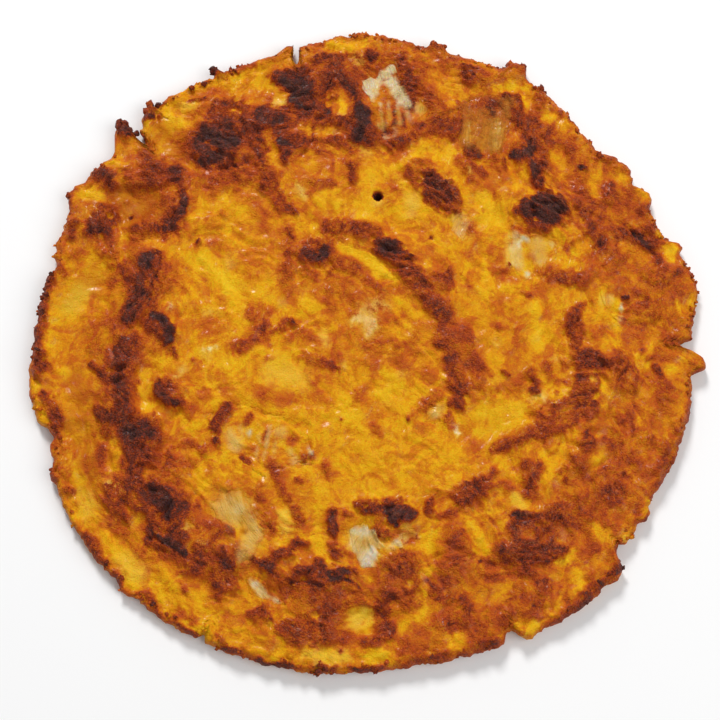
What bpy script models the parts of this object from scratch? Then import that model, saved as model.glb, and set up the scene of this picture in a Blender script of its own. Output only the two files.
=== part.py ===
"""A kimchi pancake, fried brown on top: one thick disc of batter with a ragged crisp rim, and the
pieces of pickled cabbage that show in its face, each lying in its own pocket.

Sizes are in millimetres and angles in degrees until a point is written to a mesh, which is in metres.
The origin is the middle of the underside, +Z is up, and angles run from +X towards +Y.
"""

import math

import bmesh
import bpy
from mathutils import Vector, noise

MM = 0.001

# The disc in section
MIDDLE_HEIGHT = 9.6
VALLEY_HEIGHT = 6.6
RIM_HEIGHT = 7.2
EDGE_HEIGHT = 2.6
EDGE_LIFT = 0.9
SHOULDER_START, SHOULDER_END = 0.70, 0.85
RIM_CREST = 0.955
EDGE_START = 0.972
FLAT_UNDERSIDE = 0.88

# The rim's radius at every tenth degree, and what breaks it: angle and half-width in degrees, how far it
# reaches out, and how far its tip leans round the rim
RIM_STEP = 10
RIM_RADII = (
    125.5, 130.0, 123.0, 123.5, 119.6, 122.6, 125.0, 123.4, 124.0,
    127.4, 125.0, 123.6, 125.0, 127.4, 124.5, 129.0, 127.5, 127.6,
    129.0, 131.3, 128.8, 132.2, 132.9, 132.6, 131.6, 130.4, 129.4,
    127.3, 126.4, 127.3, 129.2, 131.0, 126.0, 124.6, 126.6, 126.2,
)
RIM_BREAKS = {
    "right tab": (355.4, 2.4, 5.0, 0.0),
    "right notch": (358.4, 1.2, -4.6, 0.0),
    "right step": (16.6, 1.5, 3.2, 0.0),
    "right shoulder": (27.4, 2.4, 2.6, 0.0),
    "shoulder lobe": (35.0, 4.4, 3.0, 0.0),
    "upper knob": (61.4, 2.6, 4.6, 0.0),
    "top knob": (76.8, 2.2, 3.0, 0.0),
    "top slit": (104.0, 1.3, -6.5, 0.0),
    "leaf tip": (106.2, 1.4, 2.4, -4.5),
    "charred bead": (118.8, 0.9, 2.6, 0.0),
    "thin crumb": (132.5, 0.8, 3.4, 0.0),
    "upper left lobe": (134.4, 1.9, 2.4, 0.0),
    "left notch": (138.1, 1.2, -5.4, 0.0),
    "left tab": (141.0, 2.5, 6.8, -5.0),
    "left lobe": (153.6, 3.0, 2.8, 0.0),
    "left dip": (167.0, 2.2, -2.2, 0.0),
    "lower left dip": (197.6, 2.4, -2.6, 0.0),
    "lower left corner": (204.6, 1.7, 2.2, 0.0),
    "lower corner": (227.4, 1.5, 1.6, 0.0),
    "lower notch": (242.0, 0.9, -2.8, 0.0),
    "lower right notch": (294.9, 1.8, -4.2, 0.0),
    "lower right tab": (297.8, 1.3, 1.6, 0.0),
    "folded lip": (315.0, 2.8, 2.8, 2.0),
    "lip notch": (318.9, 1.6, -2.2, 0.0),
    "right lobe": (326.4, 2.0, 2.0, 0.0),
}

# The charred and browned lumps that stand up: height, then a run of (x, y, radius)
LUMPS = (
    (1.5, (-32, 103, 7), (-22, 108, 10), (-13, 104, 7)),
    (1.5, (-64, 79, 9), (-54, 80, 8), (-49, 89, 7)),
    (0.8, (-38, 88, 5), (-32, 89, 4)),
    (0.9, (-45, 79, 3), (-40, 65, 3)),
    (1.3, (-76, 65, 5), (-72, 54, 5), (-78, 46, 5), (-89, 43, 4)),
    (1.0, (-103, 66, 6), (-87, 66, 6)),
    (1.2, (-116, 45, 5), (-105, 46, 6)),
    (1.6, (-84, 33, 4), (-88, 24, 5), (-90, 8, 5)),
    (1.3, (-82, 9, 5), (-77, 0, 4)),
    (1.7, (-95, -4, 6), (-96, -18, 6), (-94, -30, 7), (-89, -50, 6)),
    (1.0, (-83, -36, 5), (-84, -46, 5)),
    (1.0, (-77, -24, 5), (-72, -22, 4)),
    (1.7, (-95, -61, 8), (-80, -63, 8), (-72, -74, 8), (-63, -87, 6)),
    (0.9, (-53, -82, 6), (-52, -93, 7)),
    (0.7, (-38, -90, 4), (-26, -82, 5)),
    (1.1, (-22, -92, 7), (-9, -95, 8), (-18, -106, 12), (-32, -110, 8)),
    (1.2, (-12, -72, 4), (0, -68, 5), (15, -71, 6)),
    (1.1, (20, 69, 6), (28, 61, 8), (35, 54, 5)),
    (1.4, (58, 53, 6), (68, 52, 7), (76, 53, 5), (70, 64, 5), (62, 74, 6)),
    (1.4, (-2, 94, 5), (-1, 83, 5), (-10, 92, 4)),
    (1.0, (-6, 43, 6), (8, 37, 5), (18, 25, 7), (29, 13, 7)),
    (1.1, (18, 108, 6), (22, 102, 7), (30, 95, 6)),
    (0.9, (44, 109, 6), (60, 110, 6)),
    (0.9, (88, 47, 6), (91, 36, 6), (108, 38, 6)),
    (0.9, (100, 24, 9), (116, 24, 8), (108, 14, 8)),
    (0.7, (74, 23, 6), (82, 22, 7), (81, 6, 6)),
    (1.1, (88, -10, 8), (85, -25, 8), (70, -29, 5)),
    (0.9, (54, -43, 4), (68, -38, 4), (83, -33, 6), (82, -47, 6)),
    (0.9, (62, -47, 6), (64, -56, 6), (92, -60, 9)),
    (1.2, (56, -78, 9), (68, -74, 8), (62, -86, 9)),
    (0.9, (26, -64, 6), (40, -60, 7), (46, -56, 4)),
    (0.9, (12, -88, 9), (8, -99, 8), (14, -104, 6)),
    (0.8, (33, -82, 6), (38, -100, 9), (60, -100, 8)),
    (0.8, (113, -27, 8), (107, -45, 9), (115, -12, 5)),
)

# The pale hollows that the pan never touched: depth, then a run of (x, y, radius)
HOLLOWS = (
    (1.4, (-108, 24, 9), (-112, 12, 9), (-115, -14, 7)),
    (1.6, (-111, -40, 6), (-107, -63, 7), (-91, -87, 7), (-76, -102, 5)),
    (1.8, (-96, 53, 9), (-86, 53, 6)),
    (1.4, (-80, 82, 7), (-80, 92, 5)),
    (1.4, (-70, 101, 4), (-46, 107, 6)),
    (0.7, (-62, 26, 10), (-54, 18, 9)),
    (0.8, (-16, 120, 7), (-2, 120, 7)),
    (1.0, (38, -36, 6), (52, -31, 9)),
    (0.5, (14, 48, 10), (46, 50, 8)),
    (0.7, (46, 28, 8), (70, 32, 8)),
    (1.3, (-84, -16, 4), (-85, -27, 4)),
    (1.3, (-6, -110, 5), (3, -110, 5)),
    (0.8, (44, -74, 4), (47, -84, 4)),
    (0.9, (57, 105, 6), (65, 100, 5)),
)

LUMP_SOFTNESS = 3.0
RANDOM_RELIEF = 0.55
RANDOM_SPACING = 17.0
RIM_RAGGED = 0.7
RIM_RAGGED_SPACING = 5.0
NOISE_SEED = 37.0

# The mesh: rings of the face, then the closer rings of the crisp edge, then the plain underside
FACE_RINGS = 26
FACE_END = 0.92
EDGE_RINGS = ((0.945, 240), (0.968, 320), (0.986, 380), (0.997, 380), (1.0, 380))
UNDER_RINGS = ((0.99, 380), (0.97, 190), (0.9, 96), (0.8, 60), (0.5, 30))

# Cabbage that shows in the face: outline, and how thick the piece is
CABBAGE_GAP = 0.3
CABBAGE_CROWN = 0.35
CABBAGE = {
    "cabbage_leaf_top": (2.6, ((-2, 106), (-1, 100), (3, 94), (3, 86), (6, 79), (12, 81), (20, 88), (25, 94),
                               (18, 99), (13, 105), (11, 114), (7, 113), (3, 109))),
    "cabbage_curled": (3.0, ((38, 97), (49, 99), (60, 98), (57, 89), (53, 74), (44, 73), (36, 77), (38, 87))),
    "cabbage_white": (2.6, ((-7, -76), (-2, -73), (3, -76), (5, -83), (3, -89), (-3, -90), (-5, -83))),
    "cabbage_strip": (2.0, ((6, -80), (12, -77), (20, -75), (19, -79), (12, -82))),
    "cabbage_pale_left": (2.6, ((-58, -67), (-55, -61), (-47, -61), (-43, -69), (-39, -78), (-43, -86), (-48, -89),
                                (-51, -83), (-53, -75))),
    "cabbage_ribbed": (2.8, ((-61, -33), (-54, -27), (-42, -29), (-30, -34), (-21, -43), (-21, -51), (-31, -51),
                             (-39, -56), (-46, -50), (-57, -42))),
    "cabbage_pale_right": (2.6, ((55, 44), (59, 46), (64, 41), (75, 38), (73, 31), (67, 26), (61, 22), (56, 28))),
    "cabbage_by_oval": (2.2, ((33, 49), (38, 50), (40, 44), (37, 38), (33, 42))),
    "cabbage_middle": (2.2, ((21, -34), (24, -28), (31, -26), (32, -31), (26, -36))),
    "cabbage_low_left": (2.2, ((-46, -94), (-41, -93), (-35, -98), (-31, -103), (-37, -102), (-43, -99))),
    "cabbage_right_edge": (2.2, ((90, 18), (96, 18), (101, 12), (101, 4), (97, 4), (92, 11))),
}
OUTLINE_STEP = 2.6

# The one hole that steam has left open
STEAM_HOLE = {"place": (4.2, 57.2), "width": 2.6, "length": 4.0, "turn": 60, "floor": 2.5, "sides": 10}

# name: (colour, roughness)
MATERIALS = {
    "batter": ((0.62, 0.25, 0.035, 1), 0.45),
    "cabbage": ((0.80, 0.60, 0.26, 1), 0.35),
}


def smooth(low, high, value):
    share = min(max((value - low) / (high - low), 0), 1)
    return share * share * (3 - 2 * share)


def angle_between(first, second):
    return (first - second + 180) % 360 - 180


def wavy(x, y, spacing, layer=0.0):
    """Seeded noise from -1 to 1."""
    return noise.noise(Vector((x / spacing, y / spacing, NOISE_SEED + layer)))


def round_radius(angle):
    """The rim without its breaks: a smooth curve through RIM_RADII."""
    count = len(RIM_RADII)
    place = angle % 360 / RIM_STEP
    start = int(place)
    share = place - start
    before, here, after, beyond = (RIM_RADII[(start + step) % count] for step in (-1, 0, 1, 2))
    slope_here, slope_after = (after - before) / 2, (beyond - here) / 2
    square, cube = share**2, share**3
    return (
        here * (2 * cube - 3 * square + 1)
        + slope_here * (cube - 2 * square + share)
        + after * (3 * square - 2 * cube)
        + slope_after * (cube - square)
    )


def rim_break(angle):
    """How far the tabs, knobs and notches, and the ragged edge, carry the rim out, and how far round it."""
    out, lean = 0, 0
    for middle, half_width, reach, tip_lean in RIM_BREAKS.values():
        strength = smooth(1, 0.3, abs(angle_between(angle, middle)) / half_width)
        out += reach * strength
        lean += tip_lean * strength
    around = math.radians(angle)
    x, y = RIM_RADII[0] * math.cos(around), RIM_RADII[0] * math.sin(around)
    return out + RIM_RAGGED * wavy(x, y, RIM_RAGGED_SPACING, 9), lean


def disc_point(share, angle):
    """The place at a share of the way out, 0 to 1."""
    out, lean = rim_break(angle)
    radius = share * round_radius(angle) + smooth(0.84, 1, share) * out
    around = math.radians(angle) + smooth(0.92, 1, share) * lean / radius if radius else 0
    return radius * math.cos(around), radius * math.sin(around)


def share_of(x, y):
    """How far out a place is, near enough for the face."""
    return math.hypot(x, y) / round_radius(math.degrees(math.atan2(y, x)))


def run_reach(x, y, run):
    """How deep a place lies inside a run of round (x, y, radius) blobs, in millimetres."""
    best = -1000.0
    for start, end in zip(run, run[1:]):
        along = (end[0] - start[0], end[1] - start[1])
        length = along[0] ** 2 + along[1] ** 2
        share = ((x - start[0]) * along[0] + (y - start[1]) * along[1]) / length
        share = min(max(share, 0), 1)
        away = math.hypot(x - start[0] - share * along[0], y - start[1] - share * along[1])
        best = max(best, start[2] + share * (end[2] - start[2]) - away)
    return best


def relief(x, y):
    lumps = (height * smooth(-LUMP_SOFTNESS, LUMP_SOFTNESS, run_reach(x, y, run)) for height, *run in LUMPS)
    hollows = (depth * smooth(-LUMP_SOFTNESS, LUMP_SOFTNESS, run_reach(x, y, run)) for depth, *run in HOLLOWS)
    random = wavy(x, y, RANDOM_SPACING) + 0.5 * wavy(x, y, RANDOM_SPACING / 2, 3)
    return max(lumps) - max(hollows) + RANDOM_RELIEF * random


def face_height(share, x, y):
    """The height of the browned face."""
    section = MIDDLE_HEIGHT + (VALLEY_HEIGHT - MIDDLE_HEIGHT) * smooth(SHOULDER_START, SHOULDER_END, share)
    section += (RIM_HEIGHT - VALLEY_HEIGHT) * smooth(SHOULDER_END, RIM_CREST, share)
    height = section + relief(x, y) * (1 - smooth(RIM_CREST, 1, share))
    past = max(share - EDGE_START, 0) / (1 - EDGE_START)
    return EDGE_HEIGHT + (height - EDGE_HEIGHT) * math.sqrt(max(1 - past * past, 0))


def under_height(share):
    lifted = EDGE_LIFT * smooth(FLAT_UNDERSIDE, EDGE_START, share)
    past = max(share - EDGE_START, 0) / (1 - EDGE_START)
    return EDGE_HEIGHT + (lifted - EDGE_HEIGHT) * math.sqrt(max(1 - past * past, 0))


def zip_rings(shape, first, second):
    """Triangles between two rings of any counts, both running the same way from angle 0."""
    here, there = 0, 0
    while here < len(first) or there < len(second):
        corner, far = first[here % len(first)], second[there % len(second)]
        if there >= len(second) or (here < len(first) and (here + 1) / len(first) <= (there + 1) / len(second)):
            here += 1
            shape.faces.new((corner, far, first[here % len(first)]))
        else:
            there += 1
            shape.faces.new((corner, far, second[there % len(second)]))


def close_ring(shape, ring, middle):
    for corner, after in zip(ring, ring[1:] + ring[:1]):
        shape.faces.new((corner, after, middle))


def new_object(name, shape, material):
    bmesh.ops.recalc_face_normals(shape, faces=shape.faces)
    mesh = bpy.data.meshes.new(name)
    shape.to_mesh(mesh)
    shape.free()
    mesh.shade_smooth()
    made = bpy.data.objects.new(name, mesh)
    bpy.context.scene.collection.objects.link(made)
    if material:
        mesh.materials.append(material)
    return made


def new_material(name, colour, roughness):
    material = bpy.data.materials.new(name)
    material.use_nodes = True
    shader = material.node_tree.nodes["Principled BSDF"]
    shader.inputs["Base Color"].default_value = colour
    shader.inputs["Roughness"].default_value = roughness
    return material


def batter_ring(shape, share, count, underneath):
    ring = []
    for step in range(count):
        x, y = disc_point(share, step * 360 / count)
        height = under_height(share) if underneath else face_height(share, x, y)
        ring.append(shape.verts.new((x * MM, y * MM, height * MM)))
    return ring


def make_batter(material):
    """Rings from the middle of the face out over the edge and back in under it."""
    shape = bmesh.new()
    face = [(FACE_END * step / FACE_RINGS, 6 * step) for step in range(1, FACE_RINGS + 1)]
    rings = [batter_ring(shape, share, count, False) for share, count in face + list(EDGE_RINGS)]
    rings += [batter_ring(shape, share, count, True) for share, count in UNDER_RINGS]
    for inner, outer in zip(rings, rings[1:]):
        zip_rings(shape, inner, outer)
    close_ring(shape, rings[0], shape.verts.new((0, 0, face_height(0, 0, 0) * MM)))
    close_ring(shape, rings[-1], shape.verts.new((0, 0, 0)))
    return new_object("batter", shape, material)


def rounded_outline(corners):
    """A smooth closed curve through the corners, with points about OUTLINE_STEP apart."""
    count = len(corners)
    curve = []
    for index in range(count):
        before, here, after, beyond = (Vector(corners[(index + step) % count]) for step in (-1, 0, 1, 2))
        steps = max(1, round((after - here).length / OUTLINE_STEP))
        for step in range(steps):
            share = step / steps
            curve.append(
                here * (2 * share**3 - 3 * share**2 + 1)
                + (after - before) / 2 * (share**3 - 2 * share**2 + share)
                + after * (3 * share**2 - 2 * share**3)
                + (beyond - here) / 2 * (share**3 - share**2)
            )
    return curve


def shrunk(curve, amount):
    """The curve moved inwards. The outlines above run clockwise or not, so the side is worked out."""
    pairs = list(zip(curve, curve[1:] + curve[:1]))
    side = math.copysign(1, sum(a.x * b.y - b.x * a.y for a, b in pairs))
    moved = []
    for before, here, after in zip(curve[-1:] + curve[:-1], curve, curve[1:] + curve[:1]):
        along = (after - before).normalized()
        moved.append(here + Vector((-along.y, along.x)) * side * amount)
    return moved


def middle_of(curve):
    return sum(curve, Vector((0, 0))) / len(curve)


def base_height(curve, thickness):
    """The flat base of a piece, below the lowest of the face round it."""
    lowest = min(face_height(share_of(point.x, point.y), point.x, point.y) for point in curve)
    return lowest - thickness


def level_ring(shape, curve, height):
    return [shape.verts.new((point.x * MM, point.y * MM, height * MM)) for point in curve]


def make_cabbage(name, thickness, corners, material):
    """A flat-based piece whose top follows the face and swells a little in its middle."""
    pocket = rounded_outline(corners)
    curve = shrunk(pocket, CABBAGE_GAP)
    middle = middle_of(curve)
    shape = bmesh.new()

    def top_vertex(point, inset):
        height = face_height(share_of(point.x, point.y), point.x, point.y) + CABBAGE_CROWN * (1 - inset**2)
        return shape.verts.new((point.x * MM, point.y * MM, height * MM))

    top_rings = []
    for inset, skip in ((1.0, 1), (0.72, 1), (0.4, 2)):
        ring = [middle + (point - middle) * inset for point in curve[::skip]]
        top_rings.append([top_vertex(point, inset) for point in ring])
    floor = level_ring(shape, curve, base_height(pocket, thickness))
    zip_rings(shape, floor, top_rings[0])
    for outer, inner in zip(top_rings, top_rings[1:]):
        zip_rings(shape, outer, inner)
    close_ring(shape, top_rings[-1], top_vertex(middle, 0))
    close_ring(shape, floor, shape.verts.new((middle.x * MM, middle.y * MM, floor[0].co.z)))
    return new_object(name, shape, material)


def make_cutter(name, curve, floor):
    """A prism from the floor to above the face."""
    shape = bmesh.new()
    prism = shape.faces.new(level_ring(shape, curve, floor))
    raised = bmesh.ops.extrude_face_region(shape, geom=[prism])
    points = [item for item in raised["geom"] if isinstance(item, bmesh.types.BMVert)]
    bmesh.ops.translate(shape, verts=points, vec=(0, 0, 2 * MIDDLE_HEIGHT * MM))
    cutter = new_object(name + "_cutter", shape, None)
    cutter.hide_render = True
    cutter.display_type = "WIRE"
    return cutter


def cut(body, cutter):
    boolean = body.modifiers.new(cutter.name, "BOOLEAN")
    boolean.operation = "DIFFERENCE"
    boolean.object = cutter


def steam_hole_curve():
    turn = math.radians(STEAM_HOLE["turn"])
    along, across = Vector((math.cos(turn), math.sin(turn))), Vector((-math.sin(turn), math.cos(turn)))
    curve = []
    for step in range(STEAM_HOLE["sides"]):
        angle = 2 * math.pi * step / STEAM_HOLE["sides"]
        out = along * math.cos(angle) * STEAM_HOLE["length"] + across * math.sin(angle) * STEAM_HOLE["width"]
        curve.append(Vector(STEAM_HOLE["place"]) + out / 2)
    return curve


def main():
    for thing in list(bpy.data.objects):
        bpy.data.objects.remove(thing)
    materials = {name: new_material(name, *look) for name, look in MATERIALS.items()}
    batter = make_batter(materials["batter"])
    for name, (thickness, corners) in CABBAGE.items():
        make_cabbage(name, thickness, corners, materials["cabbage"])
        pocket = rounded_outline(corners)
        cut(batter, make_cutter(name, pocket, base_height(pocket, thickness) - CABBAGE_GAP))
    cut(batter, make_cutter("steam_hole", steam_hole_curve(), STEAM_HOLE["floor"]))


main()
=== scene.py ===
import bpy
import math
import numpy as np
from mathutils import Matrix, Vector, noise


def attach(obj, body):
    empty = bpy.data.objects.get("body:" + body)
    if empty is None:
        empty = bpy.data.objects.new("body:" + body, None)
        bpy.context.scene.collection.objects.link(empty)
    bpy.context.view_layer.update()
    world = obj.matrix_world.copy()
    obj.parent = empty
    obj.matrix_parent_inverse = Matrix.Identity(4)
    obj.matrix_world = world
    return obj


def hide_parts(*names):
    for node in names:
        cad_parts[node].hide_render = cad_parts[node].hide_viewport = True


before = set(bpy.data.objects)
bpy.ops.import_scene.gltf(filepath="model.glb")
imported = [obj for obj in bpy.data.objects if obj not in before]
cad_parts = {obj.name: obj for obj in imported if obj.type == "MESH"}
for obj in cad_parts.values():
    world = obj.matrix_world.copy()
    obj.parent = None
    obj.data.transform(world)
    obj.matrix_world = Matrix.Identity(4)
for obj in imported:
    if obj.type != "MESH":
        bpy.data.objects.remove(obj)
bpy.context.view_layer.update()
print("frame:", len(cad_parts), "solids")

mm = 0.001  # sizes below are in millimetres, angles in degrees
farAway = 1000.0
almostNothing = 1e-9


# camera, light and floor

studio = {
    "cameraHeight": 76,  # degrees above the horizon
    "cameraDistance": 600,
    "lens": 78,
    "aim": (-2.9, -9.8, 6.0),
    "floorSize": 6000,
    "floorColour": (0.93, 0.93, 0.93, 1),
    "floorRoughness": 0.8,
    "skyStrength": 0.35,
    "keyPlace": (-450, 1650, 1500),
    "keySize": 600,
    "keyPower": 36,
    "fillPlace": (1300, -400, 1500),
    "fillSize": 1800,
    "fillPower": 17.5,
}


def aimAt(thing, place, target):
    thing.location = Vector(place) * mm
    thing.rotation_euler = (Vector(target) - Vector(place)).to_track_quat("-Z", "Y").to_euler()


def makeCamera():
    height = math.radians(studio["cameraHeight"])
    target = Vector(studio["aim"])
    away = Vector((0, -math.cos(height), math.sin(height))) * studio["cameraDistance"]
    lens = bpy.data.cameras.new("photoCamera")
    lens.lens = studio["lens"]
    lens.sensor_width = 36
    camera = bpy.data.objects.new("photoCamera", lens)
    bpy.context.scene.collection.objects.link(camera)
    aimAt(camera, target + away, target)
    bpy.context.scene.camera = camera


def softLight(name, place, size, power):
    lamp = bpy.data.lights.new(name, "AREA")
    lamp.shape = "DISK"
    lamp.size = size * mm
    lamp.energy = power
    light = bpy.data.objects.new(name, lamp)
    bpy.context.scene.collection.objects.link(light)
    aimAt(light, place, (0, 0, 0))


def makeStudio():
    makeCamera()
    softLight("keyLight", studio["keyPlace"], studio["keySize"], studio["keyPower"])
    softLight("fillLight", studio["fillPlace"], studio["fillSize"], studio["fillPower"])
    world = bpy.data.worlds.new("paleRoom")
    bpy.context.scene.world = world
    world.use_nodes = True
    sky = world.node_tree.nodes["Background"]
    sky.inputs["Color"].default_value = (1, 1, 1, 1)
    sky.inputs["Strength"].default_value = studio["skyStrength"]
    bpy.context.scene.view_settings.view_transform = "Standard"
    bpy.ops.object.select_all(action="DESELECT")
    bpy.ops.mesh.primitive_plane_add(size=studio["floorSize"] * mm, location=(0, 0, 0))
    floor = bpy.context.object
    floor.name = "floor"
    paint = bpy.data.materials.new("paleFloor")
    paint.use_nodes = True
    shader = paint.node_tree.nodes["Principled BSDF"]
    shader.inputs["Base Color"].default_value = studio["floorColour"]
    shader.inputs["Roughness"].default_value = studio["floorRoughness"]
    floor.data.materials.append(paint)
    print("studio: camera, two soft lights, floor")


# shader maths

class Wire:
    # one output socket; sums and products on it add Math nodes
    def __init__(self, tree, socket=None):
        self.tree = tree
        self.socket = socket

    def plug(self, target, value):
        if isinstance(value, Wire):
            self.tree.links.new(value.socket, target)
        elif value is not None:
            target.default_value = value

    def node(self, kind, settings=None, sockets=None, output=0):
        made = self.tree.nodes.new(kind)
        for name, value in (settings or {}).items():
            if name == "stops":
                self.setStops(made.color_ramp, value)
            else:
                setattr(made, name, value)
        for name, value in (sockets or {}).items():
            self.plug(made.inputs[name], value)
        return Wire(self.tree, made.outputs[output])

    def setStops(self, ramp, stops):
        while len(ramp.elements) > 1:
            ramp.elements.remove(ramp.elements[-1])
        for index, (place, colour) in enumerate(stops):
            stop = ramp.elements[0] if index == 0 else ramp.elements.new(place)
            stop.position = place
            stop.color = (*colour, 1)

    def maths(self, operation, first, second=None):
        return self.node("ShaderNodeMath", {"operation": operation}, {0: first, 1: second})

    def __add__(self, other):
        return self.maths("ADD", self, other)

    __radd__ = __add__

    def __sub__(self, other):
        return self.maths("SUBTRACT", self, other)

    def __rsub__(self, other):
        return self.maths("SUBTRACT", other, self)

    def __mul__(self, other):
        return self.maths("MULTIPLY", self, other)

    __rmul__ = __mul__

    def __abs__(self):
        return self.maths("ABSOLUTE", self)

    def clamped(self):
        return self.node("ShaderNodeMath", {"operation": "ADD", "use_clamp": True}, {0: self, 1: 0.0})

    def between(self, low, high):
        return self.node("ShaderNodeMapRange", {"interpolation_type": "SMOOTHSTEP"},
                         {"Value": self, "From Min": low, "From Max": high, "To Min": 0.0, "To Max": 1.0})

    def grain(self, place, spacing, detail=2.0, rough=0.5, warp=0.0):
        # even noise about 0, from -0.5 to 0.5
        made = self.node("ShaderNodeTexNoise", {"noise_dimensions": "3D"},
                         {"Vector": place, "Scale": 1 / (spacing * mm), "Detail": detail,
                          "Roughness": rough, "Distortion": warp})
        return made - 0.5

    def blend(self, share, first, second, how="MIX"):
        return self.node("ShaderNodeMix", {"data_type": "RGBA", "blend_type": how},
                         {0: share, 6: first, 7: second}, output=2)


# the disc: the same form as the solid's, worked out for all points at once

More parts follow.
